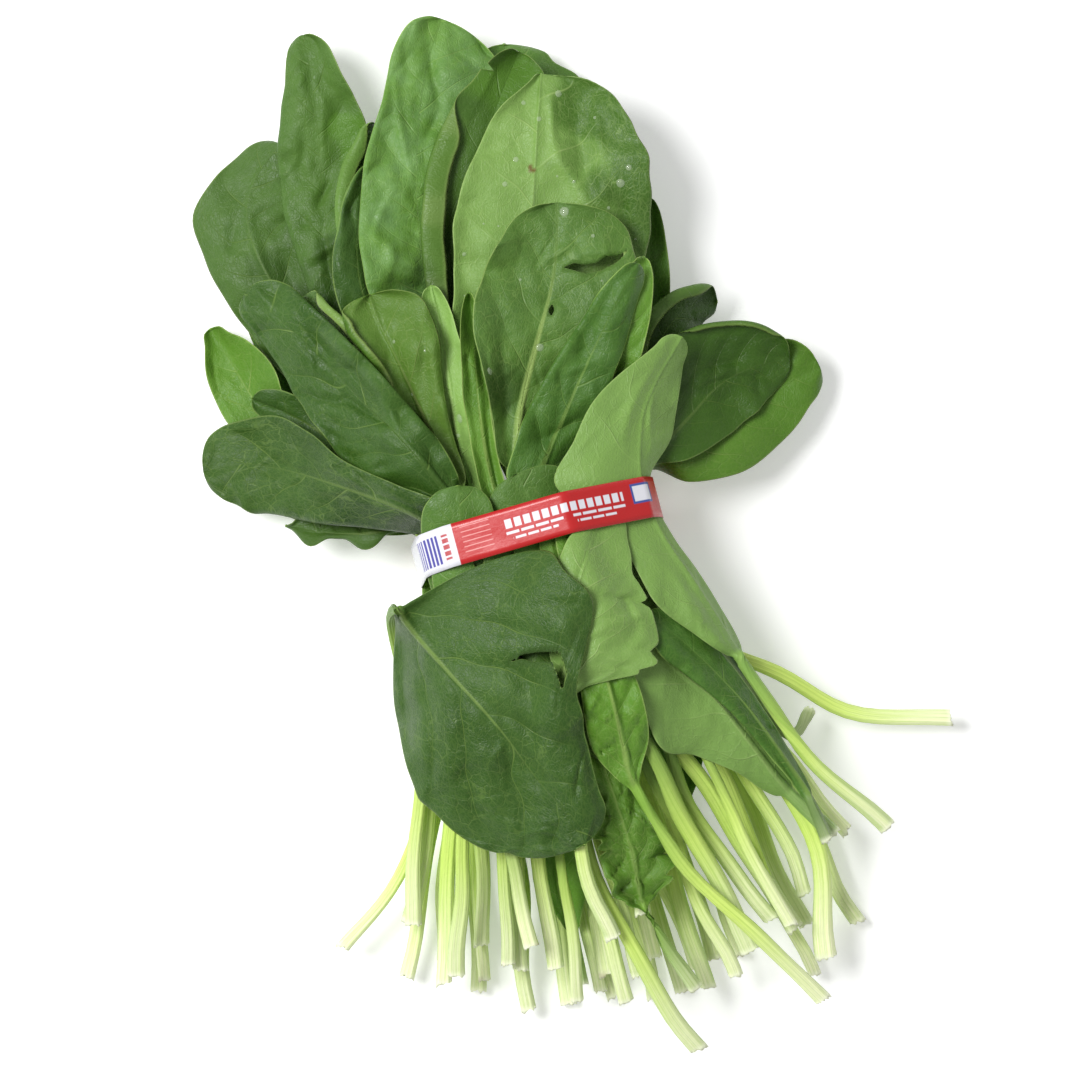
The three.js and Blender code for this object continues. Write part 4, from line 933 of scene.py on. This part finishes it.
def add(tree, kind, inputs=(), **settings):
    """A new node. Inputs are values, sockets or nodes, by their order or name among the shown ones."""
    made = tree.nodes.new(kind)
    for name, value in settings.items():
        setattr(made, name, value)
    shown = [s for s in made.inputs if s.enabled]
    for key, value in inputs.items() if isinstance(inputs, dict) else enumerate(inputs):
        socket = made.inputs[key] if isinstance(key, str) else shown[key]
        if isinstance(value, bpy.types.Node):
            value = next(s for s in value.outputs if s.enabled)
        if isinstance(value, bpy.types.NodeSocket):
            tree.links.new(value, socket)
        elif value is not None:
            socket.default_value = value
    return made


def new_material(name):
    material = bpy.data.materials.new(name)
    material.use_nodes = True
    tree = material.node_tree
    tree.nodes.clear()
    return material, tree


def leaf_material(title, upper, lit, lower, vein):
    """Living spinach leaf: waxy satin green, with paler veins sunk into its upper face and raised on the
    lower one. Its juicy ribbed stalk turns from lime to cream at the cut end."""
    material, tree = new_material(title)
    read, split = {}, {}
    for name in ("lay", "vein", "part", "show", "marked", "tint"):
        read[name] = add(tree, "ShaderNodeAttribute", attribute_name=name).outputs["Vector"]
        split[name] = add(tree, "ShaderNodeSeparateXYZ", [read[name]]).outputs
    across, along, inside = split["lay"]
    phase, reach, rib = split["vein"]
    blade, under, from_cut = split["part"]
    show_midrib, show_sides, show_net = split["show"]
    vivid, dark, brown = split["marked"]
    bright, clear, haze = split["tint"]
    tone = add(tree, "ShaderNodeAttribute", attribute_name="tone").outputs["Fac"]
    place = add(tree, "ShaderNodeTexCoord").outputs["Object"]

    # Side veins: the left ones leave the midrib between the right ones, and fork towards the margin.
    right = add(tree, "ShaderNodeMath", [across, 0], operation="GREATER_THAN")
    turn = add(tree, "ShaderNodeMath", [right, 0.5, phase], operation="MULTIPLY_ADD")
    off = add(tree, "ShaderNodeMath", [turn, 0.5], operation="PINGPONG")
    vein_width = add(tree, "ShaderNodeMapRange", [reach, 0, 1, 0.04, 0.016])
    side_vein = add(tree, "ShaderNodeMapRange", [off, 0, vein_width, 1, 0], interpolation_type="SMOOTHSTEP")
    fork_off = add(tree, "ShaderNodeMath", [0.5, off], operation="SUBTRACT")
    fork = add(tree, "ShaderNodeMapRange", [fork_off, 0, 0.02, 0.7, 0], interpolation_type="SMOOTHSTEP")
    forked = add(tree, "ShaderNodeMapRange", [reach, 0.4, 0.7, 0, 1])
    fork = add(tree, "ShaderNodeMath", [fork, forked], operation="MULTIPLY")
    side_vein = add(tree, "ShaderNodeMath", [side_vein, fork], operation="MAXIMUM")
    fading = add(tree, "ShaderNodeMapRange", [reach, 0.97, 0.5, 0, 1])
    side_vein = add(tree, "ShaderNodeMath", [side_vein, fading], operation="MULTIPLY")
    broken = add(tree, "ShaderNodeTexNoise", {"Vector": place, "Scale": 90, "Detail": 2})
    broken = add(tree, "ShaderNodeMapRange", [broken.outputs[0], 0.35, 0.6, 0.35, 1])
    side_vein = add(tree, "ShaderNodeMath", [side_vein, broken], operation="MULTIPLY")

    # The net of small veins between them, in two sizes.
    drift = add(tree, "ShaderNodeTexNoise", {"Vector": read["lay"], "Scale": 0.35, "Detail": 2})
    lay = add(tree, "ShaderNodeVectorMath", [drift.outputs["Color"], (2.4, 2.4, 2.4), read["lay"]],
              operation="MULTIPLY_ADD")
    net = add(tree, "ShaderNodeTexVoronoi", {"Vector": lay, "Scale": 0.22}, feature="DISTANCE_TO_EDGE")
    net = add(tree, "ShaderNodeMapRange", [net.outputs["Distance"], 0, 0.06, 1, 0],
              interpolation_type="SMOOTHSTEP")
    net = add(tree, "ShaderNodeMath", [net, broken], operation="MULTIPLY")
    fine = add(tree, "ShaderNodeTexVoronoi", {"Vector": lay, "Scale": 0.8}, feature="DISTANCE_TO_EDGE")
    fine = add(tree, "ShaderNodeMapRange", [fine.outputs["Distance"], 0, 0.14, 0.5, 0])
    nets = add(tree, "ShaderNodeMath", [net, fine], operation="MAXIMUM")

    beside = add(tree, "ShaderNodeMath", [across], operation="ABSOLUTE")
    narrow = add(tree, "ShaderNodeMath", [rib, 0.25], operation="MULTIPLY")
    wide = add(tree, "ShaderNodeMath", [rib, 0.95], operation="MULTIPLY")
    midrib = add(tree, "ShaderNodeMapRange", [beside, narrow, wide, 1, 0], interpolation_type="SMOOTHSTEP")

    shown = 0
    for pattern, strength in ((nets, show_net), (side_vein, show_sides), (midrib, show_midrib)):
        pattern = add(tree, "ShaderNodeMath", [pattern, strength], operation="MULTIPLY")
        shown = add(tree, "ShaderNodeMath", [pattern, shown], operation="MAXIMUM")

    # Deeper and lighter greens in soft patches, some with a bluish bloom of wax.
    patches = add(tree, "ShaderNodeTexNoise", {
        "Vector": place, "Scale": 42, "Detail": 5, "Roughness": 0.62})
    patches = add(tree, "ShaderNodeMapRange", [patches.outputs[0], 0.3, 0.7, 0, 1])
    face = add(tree, "ShaderNodeMix", [patches, colour(upper), colour(lit)], data_type="RGBA")
    pale = add(tree, "ShaderNodeMix", [patches, colour(lower), colour(lit)], data_type="RGBA")
    pale = add(tree, "ShaderNodeMix", [0.3, colour(lower), pale], data_type="RGBA")
    face = add(tree, "ShaderNodeMix", [under, face, pale], data_type="RGBA")
    bloom = add(tree, "ShaderNodeTexNoise", {"Vector": place, "Scale": 70, "Detail": 6, "Roughness": 0.7})
    bloom = add(tree, "ShaderNodeMapRange", [bloom.outputs[0], 0.4, 0.75, 0, 0.09])
    bloom = add(tree, "ShaderNodeMath", [bloom, haze], operation="MULTIPLY")
    face = add(tree, "ShaderNodeMix", [bloom, face, colour("#86A583")], data_type="RGBA")

    # Painted light: where light would come through a single layer the blade is painted yellower; the vivid
    # marks are partly this painted light and partly the own yellower colour of younger parts.
    fresh = add(tree, "ShaderNodeMath", [clear, vivid], operation="MAXIMUM")
    fresh = add(tree, "ShaderNodeMath", [fresh, 0.8], operation="MULTIPLY")
    # Painted shade: the dark marks paint a deep green where the leaf lies in shade.
    shade = add(tree, "ShaderNodeMath", [dark, 0.6], operation="MULTIPLY")
    rim = add(tree, "ShaderNodeMapRange", [inside, 0.08, 0.55, 0.6, 0], interpolation_type="SMOOTHSTEP")
    painted = ((fresh, "#62952A"), (shade, "#16360C"), (shown, vein), (rim, vein), (brown, "#6E5A22"))
    for amount, over in painted:
        face = add(tree, "ShaderNodeMix", [amount, face, colour(over)], data_type="RGBA")
    # Each leaf's brightness: partly its own tone, partly painted light and shade.
    level = add(tree, "ShaderNodeCombineColor", [bright, bright, bright])
    face = add(tree, "ShaderNodeMix", [1, face, level], data_type="RGBA", blend_type="MULTIPLY")

    # The stalk: lime, finely streaked lengthwise, paler and then cream towards its cut end, with painted
    # shade down its flanks.
    streak_at = add(tree, "ShaderNodeVectorMath", [read["lay"], (2.4, 0.05, 0)], operation="MULTIPLY")
    streaks = add(tree, "ShaderNodeTexNoise", {
        "Vector": streak_at, "Scale": 1, "Detail": 4, "Roughness": 0.6})
    streaks = add(tree, "ShaderNodeMapRange", [streaks.outputs[0], 0.3, 0.7, 0, 1])
    up_stalk = add(tree, "ShaderNodeMapRange", [from_cut, 0, 42, 0, 1], interpolation_type="SMOOTHSTEP")
    stalk = add(tree, "ShaderNodeMix", [up_stalk, colour("#F8FCD0"), colour("#D9F07F")], data_type="RGBA")
    stalk_tone = add(tree, "ShaderNodeMix", [tone, colour("#5C8A22"), stalk], data_type="RGBA")
    streaked = add(tree, "ShaderNodeMix", [streaks, (0.84, 0.92, 0.66, 1), (1.12, 1.08, 1.2, 1)],
                   data_type="RGBA")
    stalk = add(tree, "ShaderNodeMix", [1, stalk_tone, streaked], data_type="RGBA", blend_type="MULTIPLY")
    angle = add(tree, "ShaderNodeMath", [across, rib], operation="DIVIDE")
    ribbed = add(tree, "ShaderNodeMath", [angle, float(STALK_RIBS)], operation="MULTIPLY")
    ribbed = add(tree, "ShaderNodeMath", [ribbed], operation="COSINE")
    ribbed = add(tree, "ShaderNodeMapRange", [ribbed, 0.2, 1, 0, 0.18])
    # Painted shade: the flanks of the stalk are painted a deeper green, as if turned away from the light.
    painted_flank_shade = add(tree, "ShaderNodeMath", [angle], operation="ABSOLUTE")
    painted_flank_shade = add(tree, "ShaderNodeMapRange", [painted_flank_shade, 0.6, 1.7, 0, 0.42])
    # Greener along the ribs (their own colour) and on the flanks (painted shade).
    green = add(tree, "ShaderNodeMath", [ribbed, painted_flank_shade], operation="MAXIMUM")
    at_leaf = add(tree, "ShaderNodeMapRange", [along, -38, -4, 0, 0.85])
    end = add(tree, "ShaderNodeMapRange", [from_cut, -0.5, 2.2, 1, 0], interpolation_type="SMOOTHSTEP")
    bruised = add(tree, "ShaderNodeTexNoise", {"Vector": place, "Scale": 110, "Detail": 3})
    bruised = add(tree, "ShaderNodeMapRange", [bruised.outputs[0], 0.6, 0.7, 0, 0.55])
    bruised = add(tree, "ShaderNodeMath", [bruised, end], operation="MULTIPLY")
    for amount, over in ((green, "#7FAE37"), (at_leaf, lit), (end, "#F6FADC"), (bruised, "#9A8A52")):
        stalk = add(tree, "ShaderNodeMix", [amount, stalk, colour(over)], data_type="RGBA")
    skin = add(tree, "ShaderNodeMix", [blade, stalk, face], data_type="RGBA")

    # Veins are sunk into the upper face and raised on the lower one; small cells give the satin its grain.
    relief = add(tree, "ShaderNodeMath", [nets, 0.45], operation="MULTIPLY")
    relief = add(tree, "ShaderNodeMath", [relief, side_vein], operation="MAXIMUM")
    sign = add(tree, "ShaderNodeMapRange", [under, 0, 1, -1, 1])
    relief = add(tree, "ShaderNodeMath", [relief, sign], operation="MULTIPLY")
    relief = add(tree, "ShaderNodeMath", [relief, blade], operation="MULTIPLY")
    cells = add(tree, "ShaderNodeTexVoronoi", {"Vector": place, "Scale": 1700})
    grain = add(tree, "ShaderNodeTexNoise", {"Vector": place, "Scale": 500, "Detail": 4})
    ridges = add(tree, "ShaderNodeMath", [1, blade], operation="SUBTRACT")
    ridges = add(tree, "ShaderNodeMath", [ridges, streaks], operation="MULTIPLY")
    for height, share in ((cells.outputs["Distance"], 0.22), (grain.outputs[0], 0.8), (ridges, 0.5)):
        relief = add(tree, "ShaderNodeMath", [height, share, relief], operation="MULTIPLY_ADD")
    bump = add(tree, "ShaderNodeBump", {"Strength": 0.6, "Distance": 0.00035, "Height": relief})
    rough = add(tree, "ShaderNodeMapRange", [patches, 0, 1, 0.36, 0.52])
    rough = add(tree, "ShaderNodeMath", [grain.outputs[0], 0.2, rough], operation="MULTIPLY_ADD")
    rough = add(tree, "ShaderNodeMath", [rough, 0.1], operation="SUBTRACT", use_clamp=True)
    shader = add(tree, "ShaderNodeBsdfPrincipled", {
        "Base Color": skin, "Roughness": rough, "Normal": bump, "IOR": 1.42, "Specular IOR Level": 0.34})
    add(tree, "ShaderNodeOutputMaterial", [shader])
    return material


def boxed(tree, value, low, high, soft=0.12):
    """1 between two values, with soft edges."""
    rise = add(tree, "ShaderNodeMapRange", [value, low - soft, low + soft, 0, 1])
    fall = add(tree, "ShaderNodeMapRange", [value, high - soft, high + soft, 1, 0])
    return add(tree, "ShaderNodeMath", [rise, fall], operation="MULTIPLY")


def dashes(tree, along, period, share):
    """1 on evenly spaced dashes that fill a share of their period."""
    off = add(tree, "ShaderNodeMath", [along, period / 2], operation="PINGPONG")
    edge = period * share / 2
    return add(tree, "ShaderNodeMapRange", [off, edge - 0.06, edge + 0.06, 1, 0])


def tie_material():
    """Glossy coated paper, printed red, with a white end panel, plain rules where words would be and a
    blank plaque. Its inner face is white and fibrous."""
    material, tree = new_material("coated_paper_red")
    data = add(tree, "ShaderNodeAttribute", attribute_name="print").outputs["Vector"]
    along, across, outer = add(tree, "ShaderNodeSeparateXYZ", [data]).outputs
    place = add(tree, "ShaderNodeTexCoord").outputs["Object"]
    red = add(tree, "ShaderNodeTexNoise", {"Vector": place, "Scale": 60, "Detail": 3})
    face = add(tree, "ShaderNodeMix", [red.outputs[0], colour("#B01316"), colour("#BE1D1E")],
               data_type="RGBA")
    for span, height, printed, dashing in PRINTED:
        mask = add(tree, "ShaderNodeMath", [boxed(tree, along, *span), boxed(tree, across, *height)],
                   operation="MULTIPLY")
        if dashing:
            direction, period, share = dashing
            marks = dashes(tree, along if direction == "along" else across, period, share)
            mask = add(tree, "ShaderNodeMath", [mask, marks], operation="MULTIPLY")
        face = add(tree, "ShaderNodeMix", [mask, face, colour(printed)], data_type="RGBA")
    skin = add(tree, "ShaderNodeMix", [outer, colour("#D9D4C8"), face], data_type="RGBA")
    fibres = add(tree, "ShaderNodeTexNoise", {"Vector": place, "Scale": 900, "Detail": 4, "Roughness": 0.7})
    waves = add(tree, "ShaderNodeTexNoise", {"Vector": place, "Scale": 130, "Detail": 2})
    relief = add(tree, "ShaderNodeMath", [waves.outputs[0], 3, fibres.outputs[0]], operation="MULTIPLY_ADD")
    bump = add(tree, "ShaderNodeBump", {"Strength": 0.35, "Distance": 0.0002, "Height": relief})
    rough = add(tree, "ShaderNodeMapRange", [fibres.outputs[0], 0.3, 0.7, 0.3, 0.42])
    shader = add(tree, "ShaderNodeBsdfPrincipled", {
        "Base Color": skin, "Roughness": rough, "Normal": bump, "IOR": 1.48, "Coat Weight": 0.25,
        "Coat Roughness": 0.2})
    add(tree, "ShaderNodeOutputMaterial", [shader])
    return material


def water_material():
    """Drops of clean water."""
    material, tree = new_material("water")
    place = add(tree, "ShaderNodeTexCoord").outputs["Object"]
    waves = add(tree, "ShaderNodeTexNoise", {"Vector": place, "Scale": 300})
    rough = add(tree, "ShaderNodeMapRange", [waves.outputs[0], 0.3, 0.7, 0.01, 0.04])
    bump = add(tree, "ShaderNodeBump", {"Strength": 0.1, "Distance": 0.0002, "Height": waves.outputs[0]})
    shader = add(tree, "ShaderNodeBsdfPrincipled", {
        "Base Color": colour("#E4F2D4"), "Roughness": rough, "Normal": bump, "IOR": 1.333, "Alpha": 0.22,
        "Coat Weight": 1.0, "Coat Roughness": 0.02})
    add(tree, "ShaderNodeOutputMaterial", [shader])
    return material


# ---- Making the bunch ----
LEAF_COLOURS = {  # of the upper face where it is deeper and lighter, of the lower face, and of the veins
    "leaf_dark": ("#365C1A", "#4A7229", "#6E9642", "#95B45C"),
    "leaf_mid": ("#4A7028", "#5F8738", "#7DA04E", "#A0BC68"),
    "leaf_fresh": ("#588728", "#6F9F37", "#86AD50", "#AFCB70"),
    "leaf_pale": ("#5F8A3C", "#739C4B", "#85AC56", "#ABC878"),
}
FINISHES = {slot: leaf_material("spinach_" + slot, *colours) for slot, colours in LEAF_COLOURS.items()}
WATER = water_material()
DROPS = drops_tree()
pile = Pile()
slots = {p["node"]: p["material_slot"] for p in frame["record"]["subparts"]}
leaves = {}
for name in slots:
    if name == "paper_tie":
        continue
    leaf = Leaf(name)
    if leaf.look["folded"]:
        leaf.lay_down(pile, 0, leaf.stalk_rows)
        leaf.lay_down(pile, leaf.stalk_rows)
    else:
        leaf.lay_down(pile)
    leaves[name] = leaf
    piece = build_leaf(leaf, FINISHES[slots[name]])
    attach(piece, "root")
    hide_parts(name)
    if leaf.look["wet"]:
        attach(add_drops(piece, leaf, len(leaves)), "root")

tie = build_tie(leaves.values(), tie_material())
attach(tie, "root")
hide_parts("paper_tie")

# ---- Floor, light and camera ----
FLOOR_HALF = 3000
FLOOR_Z = -0.4
FLOOR_GLOW = 0.3
SKY_LIGHT = 0.45
VIEW_HEIGHT = 1.8  # metres
VIEW_WIDTH = 0.324  # of what the camera sees, in metres, at the middle of the bunch
VIEW_TURN = 14.83  # degrees that the bunch leans to the left in the view
VIEW_SHIFT = (-0.0068, -0.0025)  # of the camera from the middle of the bunch

floor_paint, tree = new_material("pale_floor")
paint = add(tree, "ShaderNodeBsdfPrincipled", {
    "Base Color": (0.9, 0.9, 0.9, 1), "Roughness": 0.9, "Emission Color": (1, 1, 1, 1),
    "Emission Strength": FLOOR_GLOW})
add(tree, "ShaderNodeOutputMaterial", [paint])
corners = [[x * FLOOR_HALF, y * FLOOR_HALF, FLOOR_Z] for x, y in ((-1, -1), (1, -1), (1, 1), (-1, 1))]
floor = new_object("floor", corners, [np.array([[0, 1, 2, 3]])], floor_paint)

scene = bpy.context.scene
world = bpy.data.worlds.new("studio")
scene.world = world
world.use_nodes = True
sky = world.node_tree.nodes["Background"].inputs
sky["Color"].default_value = (1, 1, 1, 1)
sky["Strength"].default_value = SKY_LIGHT
scene.view_settings.view_transform = "Standard"


def soft_light(name, place, aim, size, power):
    lamp = bpy.data.lights.new(name, "AREA")
    lamp.shape = "DISK"
    lamp.size = size
    lamp.energy = power
    made = placed(name, lamp)
    made.location = place
    made.rotation_mode = "QUATERNION"
    made.rotation_quaternion = (Vector(aim) - Vector(place)).to_track_quat("-Z", "Y")


soft_light("window", place=(-0.55, 0.42, 1.16), aim=(0, 0, 0), size=0.6, power=18)

camera = bpy.data.cameras.new("camera")
camera.sensor_width = 36
camera.lens = camera.sensor_width * VIEW_HEIGHT / VIEW_WIDTH
eye = placed("camera", camera)
middle = np.mean(CAD_BOX, axis=0)
eye.location = (middle[0] + VIEW_SHIFT[0], middle[1] + VIEW_SHIFT[1], CAD_BOX[1][2] / 2 + VIEW_HEIGHT)
eye.rotation_euler = (0, 0, -math.radians(VIEW_TURN))
scene.camera = eye
